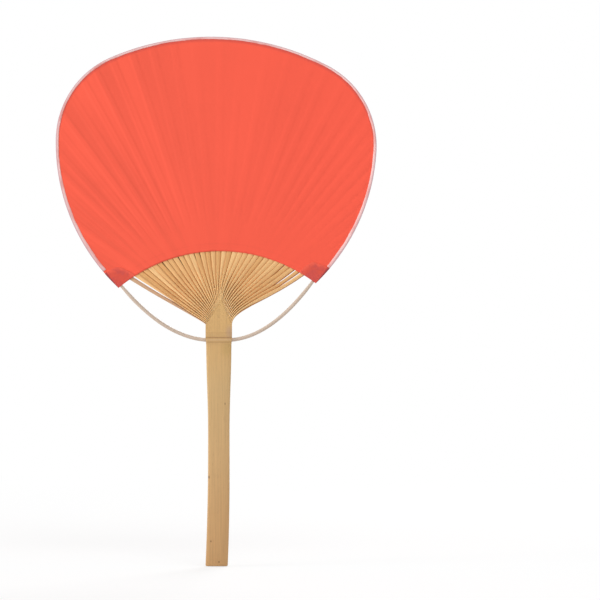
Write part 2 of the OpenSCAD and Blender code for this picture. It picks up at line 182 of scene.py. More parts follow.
@dataclass(frozen=True)
class FanPlan:
    """Sizes that several sub-assemblies share, as the solids have them; angles in degrees."""

    split_z: float = 176.0
    neck_w: float = 19.2
    slat_t: float = 4.6
    tongue_rise: float = 17.6
    tongue_shift: float = 2.0
    tongue_power: float = 1.15
    leaf_rise: float = 209.9
    crown_r: float = 183.6
    shoulder_r: float = 65.9
    flank_r: float = 144.8
    shoulder_from: float = 25.7
    flank_from: float = 91.0
    flank_span: float = 53.0
    leaf_shift: float = 7.0
    leaf_turn: float = 2.2
    arc_rise: float = 53.6
    arc_r: float = 115.5
    arc_shift: float = 0.9
    paper_t: float = 0.17
    rib_count: int = 34
    rib_t: float = 0.45
    room: float = 0.525
    room_up: float = 8.2
    room_close: float = 8.0
    ear_reach: float = 15.5
    outline_steps: int = 70

    @property
    def arc_c(self) -> Vector:
        """Centre of the papers' lower arc."""
        return Vector((self.arc_shift, self.split_z + self.arc_rise - self.arc_r))

    @property
    def crown_c(self) -> Vector:
        """Centre of the crown's arc, on the leaf's own axis."""
        return Vector((0, self.leaf_rise - self.crown_r))

    @property
    def shoulder_c(self) -> Vector:
        """Centre of the right shoulder's arc, on the leaf's own axis."""
        return self.crown_c + (self.crown_r - self.shoulder_r) * heading(self.shoulder_from)

    @property
    def flank_c(self) -> Vector:
        """Centre of the right flank's arc, on the leaf's own axis."""
        return self.shoulder_c + (self.shoulder_r - self.flank_r) * heading(self.flank_from)

    def pasted(self, p: Vector, side: Side = Side.RIGHT) -> Vector:
        """Place of a point of the leaf on the fan.

        Args:
            p: The point, on the leaf's own axis.
            side: The side it is laid on. The left is the right one's mirror image.

        Returns:
            The point where the leaf is pasted down, a little askew.
        """
        c, s = math.cos(math.radians(self.leaf_turn)), math.sin(math.radians(self.leaf_turn))
        x = p.x * side.value
        return Vector((x * c + p.y * s - self.leaf_shift, p.y * c - x * s + self.split_z))

    def half_outline(self) -> list[Vector]:
        """Right half of the leaf's outline on its own axis.

        Returns:
            Points from the top down.
        """
        arcs = (
            (self.crown_c, self.crown_r, 0.0, self.shoulder_from),
            (self.shoulder_c, self.shoulder_r, self.shoulder_from, self.flank_from),
            (self.flank_c, self.flank_r, self.flank_from, self.flank_from + self.flank_span),
        )
        return [
            centre + radius * heading(mix(start, end, k / self.outline_steps))
            for centre, radius, start, end in arcs
            for k in range(self.outline_steps)
        ]

    def outline(self) -> list[Vector]:
        """Outline of the leaf on the fan.

        Returns:
            Points from the left flank's foot over the top to the right one's.
        """
        half = self.half_outline()
        left = [self.pasted(p, Side.LEFT) for p in reversed(half[1:])]
        return left + [self.pasted(p) for p in half]

    def corner(self, side: Side) -> Vector:
        """Lower corner of the leaf, where the flank meets the lower arc.

        Args:
            side: The side of the corner.

        Returns:
            The crossing of the two circles that lies on that side.
        """
        c1, r1 = self.pasted(self.flank_c, side), self.flank_r
        between = self.arc_c - c1
        gap = between.length
        u = between / gap
        foot = (r1 * r1 - self.arc_r * self.arc_r + gap * gap) / (2 * gap)
        height = math.sqrt(r1 * r1 - foot * foot)
        square = Vector((-u.y, u.x)) * height
        found = [c1 + foot * u + square, c1 + foot * u - square]
        return max(found, key=lambda p: p.x * side.value)

    def on_arc(self, angle: float, up: float = 0.0) -> Vector:
        """Point at a bearing from upright and a height above the lower arc."""
        return self.arc_c + (self.arc_r + up) * bearing(angle)

    def arc_bearing(self, p: Vector) -> float:
        """Bearing of a point from the lower arc's centre."""
        return math.atan2(p.x - self.arc_c.x, p.y - self.arc_c.y)

    def above_arc(self, p: Vector) -> float:
        """Height of a point above the lower arc."""
        return (p - self.arc_c).length - self.arc_r

    def tongue_edge(self, x: float) -> float:
        """Height of the tongue's edge.

        Args:
            x: The sideways place.

        Returns:
            The height there.
        """
        side = -1 if x < self.tongue_shift else 1
        reach = self.neck_w / 2 - side * self.tongue_shift
        share = max(0.0, 1 - abs(x - self.tongue_shift) / reach)
        return self.split_z + self.tongue_rise * share**self.tongue_power

    def slice_x(self, k: float) -> float:
        """Left side of a slice of the slat, counted from 0."""
        return -self.neck_w / 2 + k * self.neck_w / self.rib_count

    def foot_edges(self, number: int) -> list[float]:
        """Heights of the tongue's edge on the left and on the right of a rib's foot."""
        return [self.tongue_edge(self.slice_x(number + k)) for k in (0, 1)]


@dataclass(frozen=True)
class RibLine:
    """Course of one rib in the plane of the leaf, read from its solid."""

    number: int
    root: Vector
    gate: Vector
    d: Vector
    width: float
    reach: float
    tip_slant: float

    @classmethod
    def read(cls, plan: FanPlan, number: int) -> "RibLine":
        """Reads the course of one rib.

        Args:
            plan: The fan's sizes.
            number: The rib's number, counted from 0 on the left.

        Returns:
            The rib's course.
        """
        tip_points = 4
        mesh = solid(f"rib_{number + 1:02d}")
        points = {tuple(round(c / MM, 2) for c in v.co): v.co / MM for v in mesh.vertices}.values()
        root = Vector((plan.slice_x(number + 0.5), sum(plan.foot_edges(number)) / 2))
        flat = sorted((Vector((p.x, p.z)) for p in points), key=lambda p: (p - root).length)
        rough = (flat[-1] - root).normalized()
        tip = sorted(flat, key=lambda p: (p - root).dot(rough))[-tip_points:]
        middle = sum(tip, Vector((0, 0))) / len(tip)
        d = (middle - root).normalized()
        right = [p - middle for p in tip if (p - middle).dot(right_of(d)) > 0]
        gate = root + d * circle_reach(root, d, plan.arc_c, plan.arc_r)
        return cls(
            number, root, gate, d,
            width=2 * sum(p.dot(right_of(d)) for p in right) / len(right),
            reach=(middle - gate).length,
            tip_slant=sum(p.dot(d) for p in right) / len(right),
        )

    def off(self, p: Vector) -> float:
        """Distance of a point from the rib's middle line."""
        return abs(cross2(p - self.gate, self.d))


# Meshes


def swept(rings: list[list[Vector]], lays: list[list[Vector]]) -> bmesh.types.BMesh:
    """Closed solid drawn by extruding one section along its course.

    Args:
        rings: The section's points at each station, in millimetres.
        lays: The surface coordinates of the same points.

    Returns:
        The solid in millimetres, with its surface coordinates.
    """
    bm = bmesh.new()
    order = bm.verts.layers.int.new("order")
    lay = bm.verts.layers.float_vector.new(LAY)
    section = bm.faces.new([bm.verts.new(p) for p in rings[0]])
    for k, v in enumerate(section.verts):
        v[order], v[lay] = k, lays[0][k]
    for ring, lay_ring in zip(rings[1:], lays[1:]):
        # Its edges go too, or else the last section would stay behind inside the solid.
        moved = [section, *section.edges]
        made = bmesh.ops.extrude_face_region(bm, geom=moved)["geom"]
        section = next(part for part in made if isinstance(part, bmesh.types.BMFace))
        for v in section.verts:
            v.co, v[lay] = ring[v[order]], lay_ring[v[order]]
    bm.verts.layers.int.remove(bm.verts.layers.int["order"])
    return bm


def draped(columns: int, rows: int, place: Place) -> bmesh.types.BMesh:
    """Open sheet: a grid whose points are laid on the fan.

    Args:
        columns: Number of faces across.
        rows: Number of faces along.
        place: Gives the place and the surface coordinates of a grid point.

    Returns:
        The sheet in millimetres, with its surface coordinates.
    """
    bm = bmesh.new()
    bmesh.ops.create_grid(bm, x_segments=columns, y_segments=rows, size=1)
    lay = bm.verts.layers.float_vector.new(LAY)
    low = Vector(map(min, zip(*(v.co for v in bm.verts))))
    high = Vector(map(max, zip(*(v.co for v in bm.verts))))
    for v in bm.verts:
        i = round((v.co.x - low.x) / (high.x - low.x) * columns)
        j = round((v.co.y - low.y) / (high.y - low.y) * rows)
        v.co, v[lay] = place(i, j)
    bmesh.ops.remove_doubles(bm, verts=bm.verts, dist=1e-4)
    return bm


def merged_copy(node: str) -> bmesh.types.BMesh:
    """Copy of a solid with its loose triangles joined up.

    Args:
        node: The solid's node.

    Returns:
        The copy, in millimetres.
    """
    bm = bmesh.new()
    bm.from_mesh(solid(node))
    bmesh.ops.scale(bm, vec=(1 / MM,) * 3, verts=bm.verts)
    bmesh.ops.remove_doubles(bm, verts=bm.verts, dist=1e-3)
    bmesh.ops.join_triangles(
        bm, faces=bm.faces, angle_face_threshold=0.02, angle_shape_threshold=1.5
    )
    return bm


@dataclass(frozen=True)
class Piece:
    """One finished piece of the fan: what it is called, wears and stands for."""

    name: str
    node: str
    slot: Slot
    finish: bpy.types.Material
    sharp: float = 60.0
    wall: float = 0.0

    def make(self, bm: bmesh.types.BMesh) -> None:
        """Turns a mesh in millimetres into the finished object, which rides on the fan's body.

        Args:
            bm: The mesh, which is used up.
        """
        bmesh.ops.scale(bm, vec=(MM,) * 3, verts=bm.verts)
        bmesh.ops.recalc_face_normals(bm, faces=bm.faces)
        for face in bm.faces:
            face.smooth = True
        mesh = bpy.data.meshes.new(self.name)
        bm.to_mesh(mesh)
        bm.free()
        mesh.set_sharp_from_angle(angle=math.radians(self.sharp))
        mesh.materials.append(self.finish)
        made = bpy.data.objects.new(self.name, mesh)
        bpy.context.scene.collection.objects.link(made)
        if self.wall:
            solidify = made.modifiers.new("wall", "SOLIDIFY")
            solidify.thickness = self.wall * MM
            solidify.offset = -1.0
        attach(made, BODY)
        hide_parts(self.node)
        log.info("%s: %d faces", self.name, len(mesh.polygons))


# Finishes


@dataclass(frozen=True)
class Mark:
    """A soft mark on a piece: its middle and reach in millimetres, and how strongly it tints."""

    centre: Triple
    reach: Triple
    share: float
    colour: Colour


class Nodes:
    """Adds nodes to one tree, which starts empty."""

    def __init__(self, tree: bpy.types.NodeTree) -> None:
        """Clears the tree."""
        self.tree = tree
        tree.nodes.clear()

    def put(self, kind: str, values: dict | None = None, **settings: object) -> bpy.types.Node:
        """Adds a node.

        Args:
            kind: Blender's name of the node.
            values: What its inputs take, a number, a colour or another node's output.
            settings: The node's own options.

        Returns:
            The node.
        """
        node = self.tree.nodes.new(kind)
        for key, value in settings.items():
            setattr(node, key, value)
        for key, value in (values or {}).items():
            self.feed(node.inputs[key], value)
        return node

    def feed(self, socket: Socket, value: object) -> None:
        """Sets an input, or links it to another node's output.

        Args:
            socket: The input.
            value: A number, a colour or an output.
        """
        if isinstance(value, Socket):
            self.tree.links.new(value, socket)
        else:
            socket.default_value = value

    def math(self, how: str, *values: object) -> Socket:
        """Result of one sum on numbers or outputs."""
        return self.put("ShaderNodeMath", dict(enumerate(values)), operation=how).outputs[0]


class Board(Nodes):
    """Lays out the nodes of one finish round a single shader."""

    def __init__(self, name: str) -> None:
        """Starts a material with a shader and an output.

        Args:
            name: The material's name.
        """
        self.material = bpy.data.materials.new(name)
        self.material.use_nodes = True
        super().__init__(self.material.node_tree)
        self.shader = self.put("ShaderNodeBsdfPrincipled")
        self.out = self.put("ShaderNodeOutputMaterial", {"Surface": self.shader.outputs["BSDF"]})

    def wear(self, **values: object) -> None:
        """Sets or links inputs of the shader; an underscore stands for a space."""
        for key, value in values.items():
            self.feed(self.shader.inputs[key.replace("_", " ")], value)

    def place(self) -> Socket:
        """Place on the fan, in metres."""
        return self.put("ShaderNodeTexCoord").outputs["Object"]

    def lay(self) -> Socket:
        """Surface coordinates that follow the piece."""
        return self.put("ShaderNodeAttribute", attribute_name=LAY).outputs["Vector"]

    def part(self, vector: Socket, axis: str) -> Socket:
        """One coordinate of a vector."""
        return self.put("ShaderNodeSeparateXYZ", {"Vector": vector}).outputs[axis]

    def sized(self, vector: Socket, scale: Triple, shift: Triple = (0, 0, 0)) -> Socket:
        """A vector scaled and shifted for a pattern."""
        values = {"Vector": vector, "Scale": scale, "Location": shift}
        return self.put("ShaderNodeMapping", values).outputs["Vector"]

    def cloud(
        self, vector: Socket, scale: Triple, detail: float = 3.0, roughness: float = 0.55,
        distortion: float = 0.0,
    ) -> Socket:
        """Soft random pattern.

        Args:
            vector: Coordinates of the surface.
            scale: How fine the pattern is along each axis.
            detail: Number of finer layers.
            roughness: Strength of the finer layers.
            distortion: How much the pattern is warped.

        Returns:
            A share from 0 to 1.
        """
        values = {
            "Vector": self.sized(vector, scale), "Scale": 1.0, "Detail": detail,
            "Roughness": roughness, "Distortion": distortion,
        }
        return self.put("ShaderNodeTexNoise", values).outputs[0]

    def band(self, value: Socket, low: float | Socket, high: float | Socket) -> Socket:
        """Share from 0 to 1 of the way from low to high, with soft ends."""
        values = {"Value": value, "From Min": low, "From Max": high}
        return self.put("ShaderNodeMapRange", values, interpolation_type="SMOOTHSTEP").outputs[0]

    def both(self, a: Socket, b: Socket | float) -> Socket:
        """Product of two shares."""
        return self.math("MULTIPLY", a, b)

    def steps(self, share: Socket, stops: Iterable[tuple[float, Colour]]) -> Socket:
        """Colour along a ramp.

        Args:
            share: Place on the ramp, from 0 to 1.
            stops: Places and colours of the stops, with the lowest and the highest first.

        Returns:
            The colour.
        """
        node = self.put("ShaderNodeValToRGB", {"Fac": share})
        ramp = node.color_ramp
        for k, (place, colour) in enumerate(stops):
            stop = ramp.elements[k] if k < 2 else ramp.elements.new(place)
            stop.position, stop.color = place, colour
        return node.outputs["Color"]

    def blend(self, share: object, a: object, b: object, how: str = "MIX") -> Socket:
        """Colour between a and b."""
        node = self.put("ShaderNodeMix", {0: share, 6: a, 7: b}, data_type="RGBA", blend_type=how)
        return node.outputs[2]

    def tint(self, colour: Socket, mask: Socket, share: float, onto: Colour) -> Socket:
        """Colour turned towards another one by a share, where a mask is 1."""
        return self.blend(self.both(mask, share), colour, onto)

    def shade(self, colour: Socket, share: Socket, levels: Span) -> Socket:
        """Colour made darker or lighter.

        Args:
            colour: The colour.
            share: A pattern from 0 to 1.
            levels: The level of light at share 0 and at share 1.

        Returns:
            The shaded colour.
        """
        values = {"Value": share, "To Min": levels[0], "To Max": levels[1]}
        level = self.put("ShaderNodeMapRange", values).outputs["Result"]
        return self.blend(1.0, colour, level, "MULTIPLY")

    def relief(self, height: Socket, depth: float) -> None:
        """Fine relief of the surface, with its depth in millimetres."""
        values = {"Height": height, "Distance": depth * MM, "Strength": 1.0}
        self.wear(Normal=self.put("ShaderNodeBump", values).outputs["Normal"])

    def marked(self, colour: Socket, place: Socket, marks: Iterable[Mark]) -> Socket:
        """Colour with soft marks on it.

        Args:
            colour: The colour.
            place: Place on the fan.
            marks: The marks, in their order.

        Returns:
            The colour with the marks.
        """
        full, core = 1.0, 0.2
        for mark in marks:
            scale = tuple(1 / (r * MM) for r in mark.reach)
            shift = tuple(-c / r for c, r in zip(mark.centre, mark.reach))
            off = self.put(
                "ShaderNodeVectorMath", {0: self.sized(place, scale, shift)}, operation="LENGTH"
            ).outputs["Value"]
            colour = self.tint(colour, self.band(off, full, core), mark.share, mark.colour)
        return colour


def round_mark(z: float, reach: float, share: float, colour: Colour) -> Mark:
    """Mark that runs right round the slat at a height."""
    return Mark((0, 0, z), (40, 40, reach), share, colour)


@dataclass(frozen=True)
class HandleBamboo:
    """Planed bamboo slat: long fibres, pores, a few specks and the joint ring's tint.

    The marks are the bruise beside the neck, the joint's tint, the greenish patch under it, the
    darker lines along its ridges, partly their own brown and partly painted shadow, the pale groove
    between them, and the specks.
    """

    height: float = 0.194
    stops: tuple[tuple[float, Colour], ...] = (
        (0.0, linear(201, 157, 107)), (1.0, linear(216, 173, 114)),
        (0.35, linear(208, 169, 118)), (0.75, linear(209, 173, 121)),
    )
    speck: Colour = linear(96, 66, 38)
    # Darker brown of the joint's ridges, which also stands in for their painted shadow.
    ridge: Colour = linear(150, 106, 68)
    broad: Triple = (420, 420, 5)
    broad_shade: Span = (0.94, 1.06)
    fibre: Triple = (2600, 2600, 24)
    fibre_shade: Span = (0.7, 1.29)
    pore: Triple = (3600, 3600, 190)
    pore_band: Span = (0.66, 0.74)
    pore_share: float = 0.16
    pore_depth: float = 0.6
    speck_share: float = 0.75
    rough: Span = (-0.9, 2.2)
    depth: float = 0.08
    gloss: float = 0.35
    specks: tuple[tuple[Triple, Triple], ...] = (
        ((-7.1, -1.6, 64.9), (0.9, 3.0, 1.6)),
        ((-5.7, -1.8, 18.2), (0.7, 3.0, 1.1)),
        ((0.2, -2.0, 3.2), (0.8, 3.0, 0.9)),
        ((4.6, -1.9, 118.4), (0.5, 3.0, 1.3)),
        ((-2.4, 2.3, 88.0), (0.7, 1.0, 2.1)),
        ((5.1, 2.3, 41.0), (0.6, 1.0, 1.4)),
    )

    def marks(self) -> list[Mark]:
        """Every mark on the slat.

        Returns:
            The marks, in the order in which they are laid on.
        """
        return [
            Mark((8.2, -2.0, 170.5), (4.5, 4.0, 7.0), 0.45, linear(178, 148, 132)),
            round_mark(165.6, 6.5, 0.3, linear(178, 142, 100)),
            Mark((6.5, -2.0, 158.5), (7.5, 4.0, 9.0), 0.4, linear(186, 152, 88)),
            # Painted shadow along the joint's ridges, over the ridges' own darker brown.
            round_mark(163.3, 0.65, 0.36, self.ridge),
            round_mark(166.7, 0.65, 0.6, self.ridge),
            round_mark(170.1, 0.65, 0.14, self.ridge),
            round_mark(165.0, 0.8, 0.45, linear(226, 190, 148)),
            *(Mark(centre, reach, self.speck_share, self.speck) for centre, reach in self.specks),
        ]

    def make(self) -> bpy.types.Material:
        """Builds the material.

        Returns:
            The material.
        """
        b = Board("handle_bamboo")
        place = b.place()
        colour = b.steps(b.band(b.part(place, "Z"), 0.0, self.height), self.stops)
        colour = b.shade(colour, b.cloud(place, self.broad, detail=2), self.broad_shade)
        fibre = b.cloud(place, self.fibre, detail=4, roughness=0.7)
        colour = b.shade(colour, fibre, self.fibre_shade)
        pore = b.band(b.cloud(place, self.pore, detail=1), *self.pore_band)
        colour = b.tint(colour, pore, self.pore_share, self.speck)
        colour = b.marked(colour, place, self.marks())
        b.wear(
            Base_Color=colour, Roughness=b.band(fibre, *self.rough), Specular_IOR_Level=self.gloss
        )
        b.relief(b.math("SUBTRACT", fibre, b.both(pore, self.pore_depth)), self.depth)
        return b.material


@dataclass(frozen=True)
class RibBamboo:
    """Split bamboo strips: light faces, browner split edges that also carry painted shade between
    the ribs, painted shade on the walls near the roots and in a few gaps, painted light at the
    roots and on the left half, each rib a little different.

    Spans across a rib run from -1 at its left edge to 1 at its right one. Spans along it are in
    metres from its root.
    """

    light: Colour = linear(251, 204, 145)
    deep: Colour = linear(224, 168, 108)
    # Painted light: the roots turn pale, because the lamps leave the twisted faces there in shade.
    root: Colour = linear(255, 215, 154)
    # Brown of the split edges, which also serves as painted shade between overlapping ribs.
    edge: Colour = linear(164, 84, 10)
    # Painted shadow: dark strokes in a few gaps between ribs near the lower arc.
    gap: Colour = linear(88, 48, 20)
    # Painted shade on the side walls between the ribs near their roots.
    wall: Colour = linear(150, 90, 46)
    uncut: Colour = linear(216, 173, 114)
    outer: Colour = linear(206, 170, 144)
    root_painted_light_along: Span = (0.036, 0.004)
    root_painted_light_share: float = 0.9
    fibre: Triple = (5.5, 60, 7.3)
    fibre_shade: Span = (0.84, 1.14)
    painted_light_left: Span = (0.01, -0.03)
    painted_light_left_shade: Span = (0.7, 1.4)
    upright_along: Span = (0.036, 0.01)
    edge_from: float = 0.52
    edge_uneven: float = -0.4
    edge_from_upright: float = -0.9
    edge_full: float = 0.81
    edge_full_upright: float = -0.74
    edge_along: Span = (0.002, 0.01)
    edge_share: float = 0.95
    behind_across: Span = (0.4, 0.75)
    gap_shadow_across: Span = (0.3, 0.58)
    gap_shadows: tuple[Triple, ...] = (
        (6, 0.036, 0.05), (9, 0.037, 0.045), (12, 0.036, 0.043), (13, 0.035, 0.042),
    )
    wall_shade_across: Span = (-0.97, -0.8)
    wall_shade_along: Span = (0.026, 0.004)
    wall_share: float = 0.2
    uncut_along: Span = (0.003, 0.0)
    outer_number: Span = (0.6, 0.2)
    outer_share: float = 0.75
    rough: Span = (-1.1, 2.0)
    depth: float = 0.06
    gloss: float = 0.1

    def make(self) -> bpy.types.Material:
        """Builds the material.

        Returns:
            The material.
        """
        b = Board("rib_bamboo")
        lay = b.lay()
        across, along, number = (b.part(lay, axis) for axis in "XYZ")
        own = b.put("ShaderNodeTexWhiteNoise", {"W": number}, noise_dimensions="1D")
        own = own.outputs["Value"]
        colour = b.blend(own, self.light, self.deep)
        # Painted light near each root.
        colour = b.tint(colour, b.band(along, *self.root_painted_light_along), self.root_painted_light_share, self.root)
        fibre = b.cloud(lay, self.fibre, detail=4, roughness=0.65)
        colour = b.shade(colour, fibre, self.fibre_shade)
        # Left half: stronger fibre contrast that also lifts it a little, partly grain and partly
        # painted light.
        left = b.band(b.part(b.place(), "X"), *self.painted_light_left)
        colour = b.blend(left, colour, b.shade(colour, fibre, self.painted_light_left_shade))
        # Darker split edges: partly the strips' own brown, partly painted shade between the ribs.
        edge = self.split_edge_and_gap_shade(b, own, across, along)
        colour = b.tint(colour, edge, self.edge_share, self.edge)
        # Painted shadow in a few gaps between ribs.
        for rib, start, end in self.gap_shadows:
            mine = b.math("COMPARE", number, rib, 0.4)
            gap_shadow_stroke = b.both(b.band(along, start, end), b.band(across, *self.gap_shadow_across))
            colour = b.blend(b.both(mine, gap_shadow_stroke), colour, self.gap)
        # Painted shade on the ribs' side walls near the roots.
        wall = b.both(b.band(across, *self.wall_shade_across), b.band(along, *self.wall_shade_along))
        colour = b.tint(colour, wall, self.wall_share, self.wall)
        colour = b.blend(b.band(along, *self.uncut_along), colour, self.uncut)
        outer = b.band(number, *self.outer_number)
        colour = b.tint(colour, outer, self.outer_share, self.outer)
        b.wear(
            Base_Color=colour, Roughness=b.band(fibre, *self.rough), Specular_IOR_Level=self.gloss
        )
        b.relief(fibre, self.depth)
        return b.material

    def split_edge_and_gap_shade(self, b: Board, own: Socket, across: Socket, along: Socket) -> Socket:
        """Where the darker split edge shows: partly the strip's own browner side, partly painted
        shade between overlapping ribs. It is broader where a rib stands upright.

        Args:
            b: The board of the material.
            own: The rib's own random share.
            across: Place across the rib.
            along: Place along the rib.

        Returns:
            A share from 0 to 1.
        """
        upright = b.band(along, *self.upright_along)
        start = b.math("MULTIPLY_ADD", own, self.edge_uneven, self.edge_from)
        start = b.math("MULTIPLY_ADD", upright, self.edge_from_upright, start)
        full = b.math("MULTIPLY_ADD", upright, self.edge_full_upright, self.edge_full)
        edge = b.both(b.band(across, start, full), b.band(along, *self.edge_along))
        behind = b.both(upright, b.band(across, *self.behind_across))
        return b.both(edge, b.math("SUBTRACT", 1.0, behind))


@dataclass(frozen=True)
class BowRod:
    """Peeled round rod: greyish beige with fine fibres along it."""

    light: Colour = linear(217, 198, 181)
    deep: Colour = linear(204, 182, 163)
    cast: Triple = (0.6, 28, 1)
    fibre: Triple = (5, 42, 1)
    fibre_shade: Span = (0.86, 1.12)
    rough: Span = (-0.8, 2.4)
    depth: float = 0.05
    gloss: float = 0.3

    def make(self) -> bpy.types.Material:
        """Builds the material.

        Returns:
            The material.
        """
        b = Board("bow_rod")
        lay = b.lay()
        fibre = b.cloud(lay, self.fibre, detail=4, roughness=0.65)
        colour = b.blend(b.cloud(lay, self.cast, detail=2), self.light, self.deep)
        colour = b.shade(colour, fibre, self.fibre_shade)
        b.wear(
            Base_Color=colour, Roughness=b.band(fibre, *self.rough), Specular_IOR_Level=self.gloss
        )
        b.relief(fibre, self.depth)
        return b.material


@dataclass(frozen=True)
class LeafPaper:
    """Dyed sheet paper: uneven dye, short fibres, soft streaks of painted light and shade along
    the ribs, painted light that makes the left a little lighter, darker edges.

    The woven thread lies 5.6 mm up a ray, where the paper shows it as a faint line.
    """

    # Painted light: the sheet is a little lighter on the left, as if lit from that side.
    left: Colour = linear(255, 99, 75)
    right: Colour = linear(255, 96, 73)
    edge: Colour = linear(216, 84, 72)
    across: Span = (-0.11, 0.09)
    blot: Triple = (28, 28, 28)
    blot_shade: Span = (0.965, 1.035)
    painted_streak: Triple = (0.62, 5.0, 0.01)
    painted_streak_band: Span = (0.34, 0.66)
    painted_streak_shade: Span = (0.94, 1.06)
    painted_streak_across: Span = (0.01, -0.085)
    painted_streak_least: float = 0.3
    woven_at: float = 0.0056
    woven_band: Span = (0.0011, 0.0)
    woven_shade: Span = (1.0, 0.98)
    fibre: Triple = (900, 900, 900)
    fibre_shade: Span = (0.95, 1.05)
    edge_band: Span = (0.0044, 0.002)
    edge_share: float = 0.75
    crease: Triple = (170, 170, 170)
    crinkle: float = 0.5
    depth: float = 0.05
    rough: float = 0.72
    gloss: float = 0.25
    sheen: float = 0.03

    def make(self) -> bpy.types.Material:
        """Builds the material.

        Returns:
            The material.
        """
        b = Board("leaf_paper")
        place, lay = b.place(), b.lay()
        sideways, up = b.part(place, "X"), b.part(lay, "Y")
        # Painted light from left to right.
        colour = b.blend(b.band(sideways, *self.across), self.left, self.right)
        colour = b.shade(colour, b.cloud(place, self.blot), self.blot_shade)
        # Painted light and shade in streaks along the ribs, strongest on the left, in the relief's
        # place.
        painted_streak = b.band(b.cloud(lay, self.painted_streak, roughness=0.5), *self.painted_streak_band)
        level = b.both(b.band(sideways, *self.painted_streak_across), 1 - self.painted_streak_least)
        level = b.math("ADD", level, self.painted_streak_least)
        colour = b.blend(level, colour, b.shade(colour, painted_streak, self.painted_streak_shade))
        off = b.math("ABSOLUTE", b.math("SUBTRACT", up, self.woven_at))
        colour = b.shade(colour, b.band(off, *self.woven_band), self.woven_shade)
        fibre = b.cloud(place, self.fibre, detail=5, roughness=0.7, distortion=1.5)
        colour = b.shade(colour, fibre, self.fibre_shade)
        rim = b.band(b.part(lay, "Z"), *self.edge_band)
        colour = b.tint(colour, rim, self.edge_share, self.edge)
        b.wear(
            Base_Color=colour, Roughness=self.rough, Specular_IOR_Level=self.gloss,
            Sheen_Weight=self.sheen,
        )
        crease = b.cloud(place, self.crease, distortion=0.6)
        b.relief(b.math("ADD", fibre, b.both(crease, self.crinkle)), self.depth)
        return b.material


@dataclass(frozen=True)
class EarPaper:
    """Patch of the same paper, soaked by its glue: blotched, with painted light and shade on its
    creases and painted shade along its fold.
    """

    red: Colour = linear(225, 85, 67)
    violet: Colour = linear(213, 82, 73)
    leaf: Colour = linear(247, 98, 76)
    # Painted shade along the fold where the patch wraps round the flank edge.
    fold: Colour = linear(112, 50, 62)
    blotch: Triple = (150, 150, 150)
    blotch_band: Span = (0.4, 0.62)
    crease: Triple = (330, 330, 330)
    crease_painted_shade: Span = (0.93, 1.07)
    thin_band: Span = (0.0052, 0.0014)
    thin_uneven: float = 0.0012
    fold_band: Span = (0.9, 0.985)
    fold_share: float = 0.75
    depth: float = 0.14
    rough: float = 0.6
    gloss: float = 0.3

    def make(self) -> bpy.types.Material:
        """Builds the material.

        Returns:
            The material.
        """
        b = Board("ear_paper")
        place, lay = b.place(), b.lay()
        blotch = b.cloud(place, self.blotch, detail=2, distortion=0.4)
        blotch = b.band(blotch, *self.blotch_band)
        colour = b.blend(blotch, self.red, self.violet)
        # Painted light and shade on the creases, in the same pattern as their relief.
        crease = b.cloud(place, self.crease, detail=4, distortion=1.2)
        colour = b.shade(colour, crease, self.crease_painted_shade)
        inside = b.math("ADD", b.part(lay, "Z"), b.both(blotch, self.thin_uneven))
        colour = b.blend(b.band(inside, *self.thin_band), colour, self.leaf)
        # Painted shade along the fold.
        fold = b.band(b.part(lay, "X"), *self.fold_band)
        colour = b.tint(colour, fold, self.fold_share, self.fold)
        b.wear(Base_Color=colour, Roughness=self.rough, Specular_IOR_Level=self.gloss)
        b.relief(crease, self.depth)
        return b.material


@dataclass(frozen=True)
class RimPaper:
    """Thin translucent strip: pinkish white where it is glued down, greyer along its fold."""

    pale: Colour = linear(250, 205, 202)
    soaked: Colour = linear(240, 168, 162)
    fold: Colour = linear(202, 165, 171)
    patch: Triple = (0.8, 55, 1)
    patch_band: Span = (0.42, 0.68)
    fibre: Triple = (1100, 1100, 1100)
    fibre_shade: Span = (0.95, 1.04)
    fold_band: Span = (0.78, 0.6)
    fold_share: float = 0.8
    depth: float = 0.04
    rough: float = 0.5
    gloss: float = 0.4

    def make(self) -> bpy.types.Material:
        """Builds the material.

        Returns:
            The material.
        """
        b = Board("rim_paper")
        place, lay = b.place(), b.lay()
        patch = b.band(b.cloud(lay, self.patch), *self.patch_band)
        colour = b.blend(patch, self.pale, self.soaked)
        fibre = b.cloud(place, self.fibre, detail=4)
        colour = b.shade(colour, fibre, self.fibre_shade)
        fold = b.band(b.math("ABSOLUTE", b.part(lay, "X")), *self.fold_band)
        colour = b.tint(colour, fold, self.fold_share, self.fold)
        b.wear(Base_Color=colour, Roughness=self.rough, Specular_IOR_Level=self.gloss)
        b.relief(fibre, self.depth)
        return b.material


@dataclass(frozen=True)
class ThreadCotton:
    """Twisted cotton thread."""

    light: Colour = linear(240, 230, 208)
    deep: Colour = linear(206, 188, 156)
    twist: Triple = (2600, 2600, 1500)
    depth: float = 0.05
    rough: float = 0.85
    sheen: float = 0.2

    def make(self) -> bpy.types.Material:
        """Builds the material.

        Returns:
            The material.
        """
        b = Board("thread")
        twist = b.cloud(b.place(), self.twist, detail=2)
        colour = b.blend(twist, self.light, self.deep)
        b.wear(Base_Color=colour, Roughness=self.rough, Sheen_Weight=self.sheen)
        b.relief(twist, self.depth)
        return b.material


# The bamboo


@dataclass(frozen=True)
class Handle:
    """The slat with its unsplit tongue, joint ring and hole for the bow."""

    sharp: float = 28.0

    def build(self, finish: bpy.types.Material) -> None:
        """Smooths and dresses the slat."""
        piece = Piece("handle_slat", "handle", Slot.HANDLE, finish, sharp=self.sharp)
        piece.make(merged_copy("handle"))


